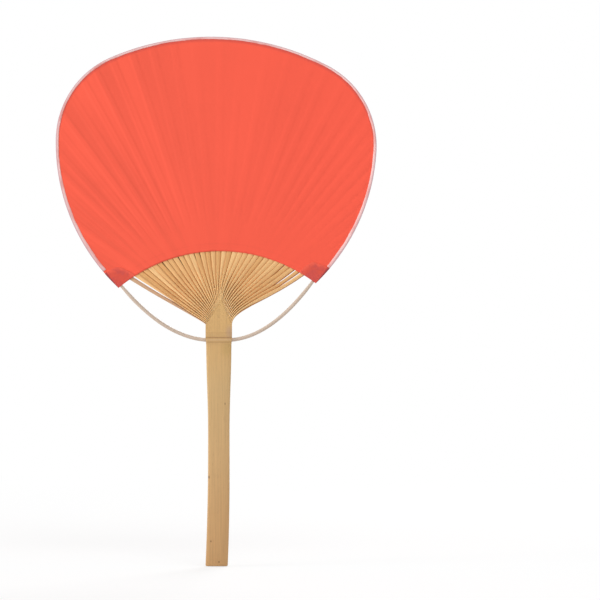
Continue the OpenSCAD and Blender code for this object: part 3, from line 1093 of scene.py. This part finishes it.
@dataclass(frozen=True)
class RibFan:
    """The ribs that are split from the slat and twist flat on their way to the papers.

    Each slit is the number of the rib on its left, the share of the free length at which it
    opens, and its width at the papers.
    """

    plan: FanPlan
    lines: tuple[RibLine, ...]
    bend_left: float = 2.5
    bend_right: float = 11.0
    aim_share: float = 0.45
    twist_late: float = 1.2
    narrow_by: float = 0.5
    root_until: float = 0.2
    kerf: float = 0.02
    tilt_share: float = 0.9
    steady: float = 0.85
    overlap: float = 0.21
    slits: tuple[tuple[int, float, float], ...] = (
        (0, 0.28, 1.2), (29, 0.78, 0.35), (31, 0.58, 0.85), (32, 0.6, 0.75),
    )
    slit_full: float = 0.95
    least_half: float = 0.35
    least_lean: float = 0.2
    flat_at: float = 3.4
    free_steps: int = 26
    step_power: float = 1.35
    arris: float = 0.09
    arris_lay: float = 0.86
    sharp: float = 50.0

    def section(
        self, p: Vector, d: Vector, halves: Span, thick: float, tilt: float,
        slant_w: float = 0.0, slant_t: float = 0.0,
    ) -> list[Vector]:
        """Points round a rib's section, with its arrises taken off.

        Args:
            p: Point of the rib's middle line.
            d: Direction of the rib there.
            halves: How far the section reaches to the left and to the right of p.
            thick: Thickness of the section.
            tilt: Angle from the plane of the leaf, in radians.
            slant_w: Slant along d across half the width.
            slant_t: Slant along d across half the thickness.

        Returns:
            Eight points, in millimetres.
        """
        n = right_of(d)
        c, s = math.cos(tilt), math.sin(tilt)
        along = at(d, 0)
        flat = Vector((n.x * c, s, n.y * c))
        width = sum(halves)
        middle = at(p, 0) + flat * (halves[1] - halves[0]) / 2
        across = flat * width / 2 + along * slant_w
        over = Vector((n.x * s, -c, n.y * s)) * thick / 2 + along * slant_t
        a, b = 1 - 2 * self.arris / width, 1 - 2 * self.arris / thick
        shares = ((1, b), (a, 1), (-a, 1), (-1, b), (-1, -b), (-a, -1), (a, -1), (1, -b))
        return [middle + across * u + over * v for u, v in shares]

    def lay_ring(self, run: float, number: int) -> list[Vector]:
        """Surface coordinates round a section: share across, metres along, the rib's number."""
        a = self.arris_lay
        return [Vector((u, run * MM, number)) for u in (1, a, -a, -1, -1, -a, a, 1)]

    def course(self, line: RibLine, t: float) -> Point:
        """Middle line of a rib, a curve from its foot to the lower arc.

        Args:
            line: The rib.
            t: Share of the free length.

        Returns:
            The point and the direction there.
        """
        place = line.number / (self.plan.rib_count - 1)
        lift = Vector((0, mix(self.bend_left, self.bend_right, place)))
        p = (line.root, line.root + lift, line.root.lerp(line.gate, self.aim_share), line.gate)
        s = 1 - t
        point = p[0] * s**3 + p[1] * 3 * t * s * s + p[2] * 3 * t * t * s + p[3] * t**3
        d = (p[1] - p[0]) * s * s + (p[2] - p[1]) * 2 * t * s + (p[3] - p[2]) * t * t
        return point, d.normalized()

    def half_width(self, line: RibLine, way: int, t: float, tilt: float) -> float:
        """Reach of a rib's section to the left (way -1) or to the right (way 1).

        Args:
            line: The rib.
            way: The side of the rib.
            t: Share of the free length.
            tilt: Angle of the section from the plane of the leaf, in radians.

        Returns:
            The reach, in millimetres: over the next rib's edge, or short of it at a slit.
        """
        other = line.number + way
        inner = 0 <= other < len(self.lines)
        full = line.width / 2
        if inner:
            full = self.lines[other].off(line.gate) / 2 + self.overlap
        usual = mix(self.plan.slat_t / 2, full, min(1, t / self.narrow_by))
        for gap, start, open_w in self.slits:
            if inner and gap == min(line.number, other):
                pitch = (self.course(self.lines[other], t)[0] - self.course(line, t)[0]).length
                short = (pitch - open_w - self.plan.rib_t * math.sin(tilt)) / 2
                short = max(self.least_half, short / max(self.least_lean, math.cos(tilt)))
                usual = mix(usual, short, ease((t - start) / (self.slit_full - start)))
        return usual

    def build_rib(self, line: RibLine, finish: bpy.types.Material) -> None:
        """Sweeps one rib from its root on the tongue to its tip by the rim.

        Args:
            line: The rib.
            finish: Its material.
        """
        plan = self.plan
        late = mix(1, self.twist_late, line.number / (plan.rib_count - 1))
        pitch = plan.neck_w / plan.rib_count
        sliver = pitch - self.kerf
        edges = plan.foot_edges(line.number)
        slant = (edges[1] - edges[0]) / 2 * sliver / pitch
        room = plan.room - plan.rib_t / 2
        gate_tilt = math.asin(self.tilt_share * 2 * room / (plan.slat_t + 2 * self.overlap))
        shares = [(k / self.free_steps) ** self.step_power for k in range(self.free_steps + 1)]
        course = [self.course(line, t) for t in shares]
        run = running([p for p, _ in course])
        rings, lays = [], [self.lay_ring(reach, line.number) for reach in run]
        for t, (p, d) in zip(shares, course):
            fade = max(0.0, 1 - t / self.root_until)
            tilt = mix(math.pi / 2, gate_tilt, mix(ease(t**late), t, self.steady))
            halves = (self.half_width(line, -1, t, tilt), self.half_width(line, 1, t, tilt))
            thick = mix(plan.rib_t, sliver, fade)
            rings.append(self.section(p, d, halves, thick, tilt, slant_t=slant * fade))
        halves = (line.width / 2,) * 2
        for reach, slant_w in ((self.flat_at, 0.0), (line.reach, line.tip_slant)):
            p = line.gate + line.d * reach
            rings.append(self.section(p, line.d, halves, plan.rib_t, 0, slant_w=slant_w))
            lays.append(self.lay_ring(run[-1] + reach, line.number))
        name = f"rib_{line.number + 1:02d}"
        piece = Piece(f"{name}_strip", name, Slot.RIB, finish, sharp=self.sharp)
        piece.make(swept(rings, lays))

    def build(self, finish: bpy.types.Material) -> None:
        """Builds every rib."""
        for line in self.lines:
            self.build_rib(line, finish)


@dataclass(frozen=True)
class Bow:
    """The thin rod through the slat that spreads the leaf's lower corners."""

    plan: FanPlan
    rod_d: float = 2.7
    drop: float = 11.3
    flat: float = 5.0
    inset: float = 2.4
    tuck: float = 6.1
    end_w: float = 2.1
    shave: float = 10.0
    tie_up: float = 4.4
    steps: int = 44
    sides: int = 20
    uneven: float = 0.07
    uneven_grain: float = 0.09
    uneven_seed: float = 3.1
    even_steps: int = 6
    sharp: float = 50.0

    def gate(self, side: Side) -> Vector:
        """Where the rod goes under the leaf's lower edge."""
        corner = self.plan.arc_bearing(self.plan.corner(side))
        return self.plan.on_arc(corner - side.value * self.inset / self.plan.arc_r)

    def course(self, x: float) -> Point:
        """Middle line of the rod.

        Args:
            x: The sideways place.

        Returns:
            The point there, and the rod's direction towards the right.
        """
        side = Side.LEFT if x < 0 else Side.RIGHT
        gate = self.gate(side)
        low = self.plan.split_z - self.drop
        bend = (gate.y - low) / (abs(gate.x) - self.flat) ** 2
        past = max(0.0, abs(x) - self.flat)
        d = Vector((1, 2 * side.value * bend * past)).normalized()
        return Vector((x, low + bend * past * past)), d

    def ring(self, p: Vector, d: Vector, width: float, thick: float) -> list[Vector]:
        """Points round the rod.

        Args:
            p: Middle of the rod.
            d: Direction of the rod.
            width: Width of the section in the leaf's plane.
            thick: Thickness of the section from front to back.

        Returns:
            The points, in millimetres.
        """
        n = Vector((-d.y, d.x))
        turns = [2 * math.pi * (k + 0.5) / self.sides for k in range(self.sides)]
        return [at(p + n * math.cos(a) * width / 2, -math.sin(a) * thick / 2) for a in turns]

    def lay_ring(self, run: float) -> list[Vector]:
        """Surface coordinates round a section: a circle of radius 1, and metres along."""
        turns = [2 * math.pi * k / self.sides for k in range(self.sides)]
        return [Vector((math.cos(a), run * MM, math.sin(a))) for a in turns]

    def half(self, side: Side) -> list[tuple[Vector, Vector, float, float]]:
        """Sections of one half of the rod.

        Args:
            side: The side of the half.

        Returns:
            Middle, direction, width and thickness of each section, from the hole outwards.
        """
        gate = self.gate(side)
        span = abs(gate.x) - self.flat
        stations = []
        for k in range(self.steps + 1):
            p, d = self.course(side.value * (self.flat + span * k / self.steps))
            shaved = max(0.0, 1 - (gate - p).length / self.shave)
            free = min(1.0, k / self.even_steps) * (1 - shaved)
            grain = noise.noise(Vector((p.x * self.uneven_grain, self.uneven_seed, 0)))
            swell = self.uneven * free * grain
            stations.append((
                p, d, mix(self.rod_d, self.end_w, shaved) + swell,
                mix(self.rod_d, 2 * self.plan.room, shaved) + swell,
            ))
        d = self.course(gate.x)[1]
        for reach in (self.tie_up, self.tuck):
            stations.append((gate + d * side.value * reach, d, self.end_w, self.plan.rib_t))
        return stations

    def build(self, finish: bpy.types.Material) -> None:
        """Sweeps the rod from its left end to its right end.

        Args:
            finish: The rod's material.
        """
        stations = self.half(Side.LEFT)[::-1] + self.half(Side.RIGHT)
        rings = [self.ring(*station) for station in stations]
        lays = [self.lay_ring(run) for run in running([station[0] for station in stations])]
        Piece("bow_rod", "bow", Slot.BOW, finish, sharp=self.sharp).make(swept(rings, lays))


# The papers


@dataclass(frozen=True)
class Leaf:
    """The two sheets pasted over the ribs, with the ribs' soft relief.

    The shares place the sheets' columns between two ribs, and the near rows place the rows close
    to the lower arc. The relief is strongest on the left and weakest in the middle.
    """

    plan: FanPlan
    lines: tuple[RibLine, ...]
    shares: tuple[float, ...] = (
        0, 0.05, 0.1, 0.15, 0.21, 0.3, 0.4, 0.5, 0.6, 0.7, 0.79, 0.85, 0.9, 0.95,
    )
    near_rows: tuple[float, ...] = (0, 0.16, 0.32, 0.46, 0.52, 0.575, 0.63, 0.69, 0.84, 1)
    near: float = 9.0
    far_rows: int = 58
    ridge_past: float = 1.5
    ridge_slope: float = 1.9
    settle_from: float = 10.0
    settle_over: float = 22.0
    slack: float = 0.75
    slack_uneven: float = 0.5
    slack_grain: float = 0.012
    slack_seed: float = 4.2
    relief_left: float = 1.7
    relief_middle: float = 0.45
    relief_right: float = 0.6
    left_from: float = -75.0
    left_over: float = 70.0
    right_from: float = 10.0
    right_over: float = 60.0
    dip: float = 0.15
    sag: float = 0.8
    proud: float = 0.07
    thread_up: float = 5.2
    thread_rise: float = 0.035
    thread_reach: float = 0.7
    wall_share: float = 0.9

    def rays(self) -> list[Span]:
        """Rays that the sheets' columns follow, from corner to corner.

        Returns:
            Bearing of each ray's foot on the lower arc, and bearing of its course.
        """
        plan = self.plan
        feet = []
        for side in Side:
            corner = plan.corner(side)
            to_flank = corner - plan.pasted(plan.flank_c, side)
            tangent = Vector((-to_flank.y, to_flank.x)) * side.value
            feet.append((plan.arc_bearing(corner), math.atan2(tangent.x, tangent.y)))
        ribs = [(plan.arc_bearing(r.gate), math.atan2(r.d.x, r.d.y)) for r in self.lines]
        keys = [feet[0], *ribs, feet[1]]
        found = []
        for a, b in zip(keys, keys[1:]):
            found += [(mix(a[0], b[0], u), mix(a[1], b[1], u)) for u in self.shares]
        return found + [keys[-1]]

    def cover(self, p: Vector, lines: Iterable[RibLine], face: Face) -> float:
        """Distance of a sheet's outer face from the middle of the leaf, with the relief.

        Args:
            p: The point, in the leaf's plane.
            lines: The ribs that may lie under it.
            face: The sheet.

        Returns:
            The distance, in millimetres.
        """
        plan = self.plan
        up = plan.above_arc(p)
        closing = min(1.0, max(0.0, (up - plan.room_up) / plan.room_close))
        base = mix(plan.room, plan.rib_t / 2, closing) + plan.paper_t
        ridge = max(ease((r.width / 2 + self.ridge_past - r.off(p)) / self.ridge_slope)
                    for r in lines)
        settled = ease((up - self.settle_from) / self.settle_over)
        grain = (p.x * self.slack_grain, p.y * self.slack_grain, self.slack_seed * face.value)
        slack = self.slack + self.slack_uneven * noise.noise(Vector(grain))
        left = ease((p.x - self.left_from) / self.left_over)
        right = ease((p.x - self.right_from) / self.right_over)
        strength = mix(self.relief_left, self.relief_middle, left) + self.relief_right * right
        height = ridge * self.proud - (1 - ridge) * self.dip * self.sag
        thread = self.thread_rise * ease(1 - abs(up - self.thread_up) / self.thread_reach)
        return base + max(-self.dip, settled * slack * strength * height) + thread

    def build_sheet(self, face: Face, name: str, node: str, finish: bpy.types.Material) -> None:
        """Drapes one sheet over the ribs.

        Args:
            face: The face of the fan that it lies on.
            name: Its name.
            node: The node that it stands for.
            finish: Its material.
        """
        plan = self.plan
        rays = self.rays()
        rim = plan.outline()
        feet = [plan.on_arc(b) for b, _ in rays]
        reaches = [rim_reach(p, bearing(a), rim) for p, (_, a) in zip(feet, rays)]
        reaches[0] = reaches[-1] = 0.0
        last_near = len(self.near_rows) - 1
        per_gap = len(self.shares)

        def place(i: int, j: int) -> Point:
            """Lays one point of the sheet.

            Args:
                i: Number of its ray.
                j: Number of its row, from the lower arc.

            Returns:
                Its place, and its surface coordinates: rib gaps across, metres up the ray and
                metres from the rim.
            """
            near = min(self.near, reaches[i] / 2)
            if j <= last_near:
                t = near * self.near_rows[j]
            else:
                t = near + (reaches[i] - near) * (j - last_near) / self.far_rows
            p = feet[i] + bearing(rays[i][1]) * t
            gap = i // per_gap
            lines = self.lines[max(0, gap - 1):gap + 1] or self.lines[:1]
            y = face.value * self.cover(p, lines, face)
            return at(p, y), Vector((i / per_gap, t * MM, (reaches[i] - t) * MM))

        sheet = draped(len(rays) - 1, last_near + self.far_rows, place)
        Piece(name, node, Slot.LEAF, finish, wall=plan.paper_t * self.wall_share).make(sheet)

    def build(self, finish: bpy.types.Material) -> None:
        """Builds both sheets."""
        self.build_sheet(Face.FRONT, "front_paper", "front_leaf", finish)
        self.build_sheet(Face.REAR, "rear_paper", "rear_leaf", finish)


@dataclass(frozen=True)
class RimTape:
    """The narrow strip folded over the rim between the two ears.

    It is widest at its two ends. The flap shares run from its edge to the rim, and the fold
    shares from there round the rim. Each raggedness is a grain along the rim, a seed and a
    strength.
    """

    plan: FanPlan
    leaf: Leaf
    width: float = 1.65
    wander: float = 0.3
    widen: float = 0.9
    widen_until: float = 0.32
    ragged: tuple[Triple, ...] = ((0.11, 1.7, 1.0), (0.5, 8.1, 0.5))
    face_seed: float = 5.3
    thick: float = 0.1
    wall_share: float = 0.85
    fold_round: float = 0.6
    under_ear: float = 1.0
    step: float = 1.1
    flap: tuple[float, ...] = (1.0, 0.55, 0.12)
    fold: tuple[float, ...] = (0.8, 0.35, 0.0)

    def path(self) -> list[Point]:
        """Course of the strip along the rim, in even steps.

        Returns:
            Each point with its outward direction.
        """
        plan = self.plan
        corners = [plan.corner(side) for side in Side]
        clear = plan.ear_reach - self.under_ear
        kept = [
            p for p in plan.outline()
            if plan.above_arc(p) > 0 and all((p - c).length > clear for c in corners)
        ]
        run = running(kept)
        count = round(run[-1] / self.step)
        found, k = [], 0
        for i in range(count + 1):
            s = run[-1] * i / count
            while k < len(kept) - 2 and run[k + 1] < s:
                k += 1
            a, b = kept[k], kept[k + 1]
            d = (b - a).normalized()
            found.append((a + d * (s - run[k]), Vector((-d.y, d.x))))
        return found

    def flap_width(self, i: int, count: int, face: Face) -> float:
        """Width of the strip on one face.

        Args:
            i: Number of the step along the rim.
            count: Number of points along the rim.
            face: The face of the fan.

        Returns:
            The width, in millimetres.
        """
        ragged = sum(
            strength * noise.noise(Vector((i * grain, face.value * self.face_seed, seed)))
            for grain, seed, strength in self.ragged
        )
        end = min(i, count - 1 - i) / count
        return self.width + self.wander * ragged + self.widen * ease(1 - end / self.widen_until)

    def build(self, finish: bpy.types.Material) -> None:
        """Folds the strip over the rim.

        Args:
            finish: The strip's material.
        """
        path = self.path()
        across = [(-u, 1.0, Face.FRONT) for u in self.flap]
        across += [(None, v, Face.FRONT) for v in self.fold]
        across += [(None, v, Face.REAR) for v in self.fold[-2::-1]]
        across += [(-u, 1.0, Face.REAR) for u in self.flap[::-1]]
        last = len(across) - 1

        def place(i: int, j: int) -> Point:
            """Lays one point of the strip.

            Args:
                i: Number of its step along the rim.
                j: Number of its row, from the front edge to the rear one.

            Returns:
                Its place, and its surface coordinates: share across and metres along.
            """
            p, out = path[i]
            inward, depth, face = across[j]
            if inward is None:
                past = self.thick * (1 - depth * depth * self.fold_round)
            else:
                past = inward * self.flap_width(i, len(path), face)
            q = p + out * past
            y = self.leaf.cover(q, self.leaf.lines, face) + self.thick
            return at(q, face.value * y * depth), Vector((2 * j / last - 1, i * self.step * MM, 0))

        strip = draped(len(path) - 1, last, place)
        wall = self.thick * self.wall_share
        Piece("rim_strip", "rim_tape", Slot.RIM, finish, wall=wall).make(strip)


@dataclass(frozen=True)
class EarPatch:
    """A small crinkled patch folded over a lower corner of the leaf."""

    plan: FanPlan
    leaf: Leaf
    side: Side
    thick: float = 0.15
    wall_share: float = 0.9
    rows: int = 30
    columns: int = 26
    folds: int = 4
    fold_round: float = 0.8
    scallop: float = 0.05
    scallop_turn: float = 9.0
    scallop_share: float = 0.6
    scallop_grain: float = 5.0
    scallop_seed: float = 2.0
    crinkle: float = 0.07
    crinkle_level: float = 0.5
    crinkle_grain: float = 0.55
    crinkle_seed: float = 3.0
    crinkle_rows: int = 6
    least_r: float = 1e-3
    edge_lay: float = 0.001

    def ray_angle(self, r: float, share: float) -> float:
        """Direction from the corner to a point of the patch.

        Args:
            r: Distance from the corner.
            share: Share of the way from the lower arc's edge to the flank's.

        Returns:
            The bearing, in radians.
        """
        plan, sign = self.plan, self.side.value
        corner, flank_c = plan.corner(self.side), plan.pasted(plan.flank_c, self.side)
        flank_turn = math.atan2((corner - flank_c).x, (corner - flank_c).y)
        arc_turn = plan.arc_bearing(corner)
        on_arc = plan.on_arc(arc_turn - sign * 2 * math.asin(r / 2 / plan.arc_r)) - corner
        turn = flank_turn - sign * 2 * math.asin(r / 2 / plan.flank_r)
        on_flank = flank_c + plan.flank_r * bearing(turn) - corner
        a, b = (math.atan2(v.x, v.y) for v in (on_arc, on_flank))
        if abs(b - a) > math.pi:
            b += math.copysign(2 * math.pi, a - b)
        return mix(a, b, share)

    def across(self, i: int) -> tuple[float, float, Face]:
        """Where a column lies: from the arc's edge over the front, round the fold and back.

        Args:
            i: Number of the column.

        Returns:
            Share of the way to the flank, depth from -1 behind to 1 in front, and the face.
        """
        if i <= self.columns:
            return i / self.columns, 1.0, Face.FRONT
        if i < self.columns + self.folds:
            depth = 1 - 2 * (i - self.columns) / self.folds
            return 1.0, depth, Face.FRONT if depth >= 0 else Face.REAR
        return (2 * self.columns + self.folds - i) / self.columns, 1.0, Face.REAR

    def reach(self, share: float, face: Face) -> float:
        """Distance of the patch's wavy edge from the corner.

        Args:
            share: Share of the way from the lower arc's edge to the flank's.
            face: The face of the fan.

        Returns:
            The distance, in millimetres.
        """
        sign = self.side.value
        grain = Vector((share * self.scallop_grain, self.scallop_seed * sign, face.value))
        wave = math.sin(share * self.scallop_turn + sign) * self.scallop_share
        wave += noise.noise(grain)
        return self.plan.ear_reach * (1 - self.scallop * (1 + wave))

    def place(self, i: int, j: int) -> Point:
        """Lays one point of the patch.

        Args:
            i: Number of its column, from the front round the fold to the rear.
            j: Number of its row, from the corner.

        Returns:
            Its place, and its surface coordinates: share across, metres from the corner and
            metres from the edge.
        """
        share, depth, face = self.across(i)
        reach = self.reach(share, face)
        r = max(self.least_r, reach * j / self.rows)
        p = self.plan.corner(self.side) + bearing(self.ray_angle(r, share)) * r
        grain = (p.x * self.crinkle_grain, p.y * self.crinkle_grain, face.value * self.crinkle_seed)
        wrinkle = self.crinkle * (self.crinkle_level + noise.noise(Vector(grain)))
        wrinkle *= ease(j / self.crinkle_rows)
        y = self.leaf.cover(p, self.leaf.lines, face) + self.thick + wrinkle
        if self.columns <= i <= self.columns + self.folds:
            out = (p - self.plan.pasted(self.plan.flank_c, self.side)).normalized()
            p = p + out * self.thick * (1 - depth**2 * self.fold_round)
            y = y - wrinkle
        edge = (reach - r) * MM + self.edge_lay
        return at(p, face.value * y * abs(depth)), Vector((share, r * MM, edge))

    def build(self, name: str, node: str, finish: bpy.types.Material) -> None:
        """Folds the patch over its corner.

        Args:
            name: The patch's name.
            node: The node that it stands for.
            finish: Its material.
        """
        patch = draped(2 * self.columns + self.folds, self.rows, self.place)
        Piece(name, node, Slot.EAR, finish, wall=self.thick * self.wall_share).make(patch)


# The studio


@dataclass(frozen=True)
class Lamp:
    """A soft square lamp that looks at a point of the fan."""

    name: str
    place: Triple
    aim: Triple
    size: float
    power: float

    def hang(self) -> None:
        """Adds the lamp to the scene."""
        light = bpy.data.lights.new(self.name, "AREA")
        light.size, light.energy = self.size, self.power
        made = bpy.data.objects.new(self.name, light)
        made.location = self.place
        look = Vector(self.aim) - Vector(self.place)
        made.rotation_euler = look.to_track_quat("-Z", "Y").to_euler()
        bpy.context.scene.collection.objects.link(made)


@dataclass(frozen=True)
class Studio:
    """Plain pale floor, soft light and the camera in front of the fan, in metres.

    The camera sees the floor glow, so that it is white round the fan's faint shadow, and it
    fades to plain white further out.
    """

    eye: Triple = (0.0592, -2.0, 0.194)
    view_w: float = 0.4375
    sensor: float = 36.0
    sky_light: float = 0.42
    floor_size: float = 2.4
    floor_z: float = -0.0004
    floor_colour: Colour = (0.86, 0.86, 0.86, 1)
    floor_rough: float = 0.9
    fade: Span = (0.3, 1.008)
    glow: float = 1.17
    glow_share: float = 0.55
    lamps: tuple[Lamp, ...] = (
        Lamp("key", (0.35, -0.95, 1.45), (0, 0, 0.22), 0.7, 5.0),
        Lamp("rake", (-2.6, -0.84, 0.65), (0, 0, 0.25), 0.9, 47.0),
        Lamp("side", (1.15, -0.8, 0.6), (0, 0, 0.25), 0.6, 2.6),
        Lamp("back", (0.5, 1.2, 1.2), (0, 0, 0.25), 0.8, 9.0),
    )

    def camera(self) -> None:
        """Places the camera straight in front, level with the picture's middle."""
        lens = bpy.data.cameras.new("camera")
        lens.sensor_width = self.sensor
        lens.lens = self.sensor * -self.eye[1] / self.view_w
        made = bpy.data.objects.new("camera", lens)
        made.location = self.eye
        made.rotation_euler = (math.pi / 2, 0, 0)
        bpy.context.scene.collection.objects.link(made)
        bpy.context.scene.camera = made

    def sky(self) -> None:
        """White surroundings: even light, and plain white where the camera sees them."""
        world = bpy.data.worlds.new("surroundings")
        bpy.context.scene.world = world
        world.use_nodes = True
        b = Nodes(world.node_tree)
        rays = b.put("ShaderNodeLightPath").outputs
        seen = b.math("MAXIMUM", rays["Is Camera Ray"], rays["Is Glossy Ray"])
        seen = b.math("MAXIMUM", seen, rays["Is Transmission Ray"])
        light, white = (
            b.put("ShaderNodeBackground", {"Color": WHITE, "Strength": strength}).outputs[0]
            for strength in (self.sky_light, 1.0)
        )
        shown = b.put("ShaderNodeMixShader", {0: seen, 1: light, 2: white}).outputs[0]
        b.put("ShaderNodeOutputWorld", {"Surface": shown})

    def floor_finish(self) -> bpy.types.Material:
        """Builds the floor's material.

        Returns:
            The material.
        """
        b = Board("floor")
        b.wear(Base_Color=self.floor_colour, Roughness=self.floor_rough, Specular_IOR_Level=0.0)
        seen = b.put("ShaderNodeLightPath").outputs["Is Camera Ray"]
        reach = b.put("ShaderNodeVectorMath", {0: b.place()}, operation="LENGTH").outputs["Value"]
        lit, white = (
            b.put("ShaderNodeEmission", {"Strength": strength}).outputs[0]
            for strength in (self.glow, 1.0)
        )
        share = b.both(seen, self.glow_share)
        near = b.put("ShaderNodeMixShader", {0: share, 1: b.shader.outputs[0], 2: lit}).outputs[0]
        share = b.both(b.band(reach, *self.fade), seen)
        far = b.put("ShaderNodeMixShader", {0: share, 1: near, 2: white}).outputs[0]
        b.feed(b.out.inputs["Surface"], far)
        return b.material

    def floor(self) -> None:
        """Lays the floor under the butt."""
        bm = bmesh.new()
        bmesh.ops.create_grid(bm, x_segments=2, y_segments=2, size=self.floor_size / 2)
        bmesh.ops.translate(bm, vec=(0, 0, self.floor_z), verts=bm.verts)
        mesh = bpy.data.meshes.new("floor")
        bm.to_mesh(mesh)
        bm.free()
        mesh.materials.append(self.floor_finish())
        made = bpy.data.objects.new("floor", mesh)
        bpy.context.scene.collection.objects.link(made)

    def build(self) -> None:
        """Sets up the whole studio."""
        bpy.context.scene.view_settings.view_transform = "Standard"
        self.camera()
        self.sky()
        self.floor()
        for lamp in self.lamps:
            lamp.hang()


def dress_thread() -> None:
    """Gives the woven thread, which keeps its solid, its finish."""
    mesh = solid("weaving_thread")
    mesh.materials.clear()
    mesh.materials.append(ThreadCotton().make())
    log.info("weaving_thread: kept")


def main() -> None:
    """Builds the fan piece by piece."""
    logging.basicConfig(level=logging.INFO, format="%(message)s")
    plan = FanPlan()
    lines = tuple(RibLine.read(plan, k) for k in range(plan.rib_count))
    Studio().build()
    Handle().build(HandleBamboo().make())
    RibFan(plan, lines).build(RibBamboo().make())
    Bow(plan).build(BowRod().make())
    dress_thread()
    leaf = Leaf(plan, lines)
    leaf.build(LeafPaper().make())
    RimTape(plan, leaf).build(RimPaper().make())
    ear_finish = EarPaper().make()
    EarPatch(plan, leaf, Side.LEFT).build("left_ear", "left_ear_patch", ear_finish)
    EarPatch(plan, leaf, Side.RIGHT).build("right_ear", "right_ear_patch", ear_finish)


if __name__ == "__main__":
    main()
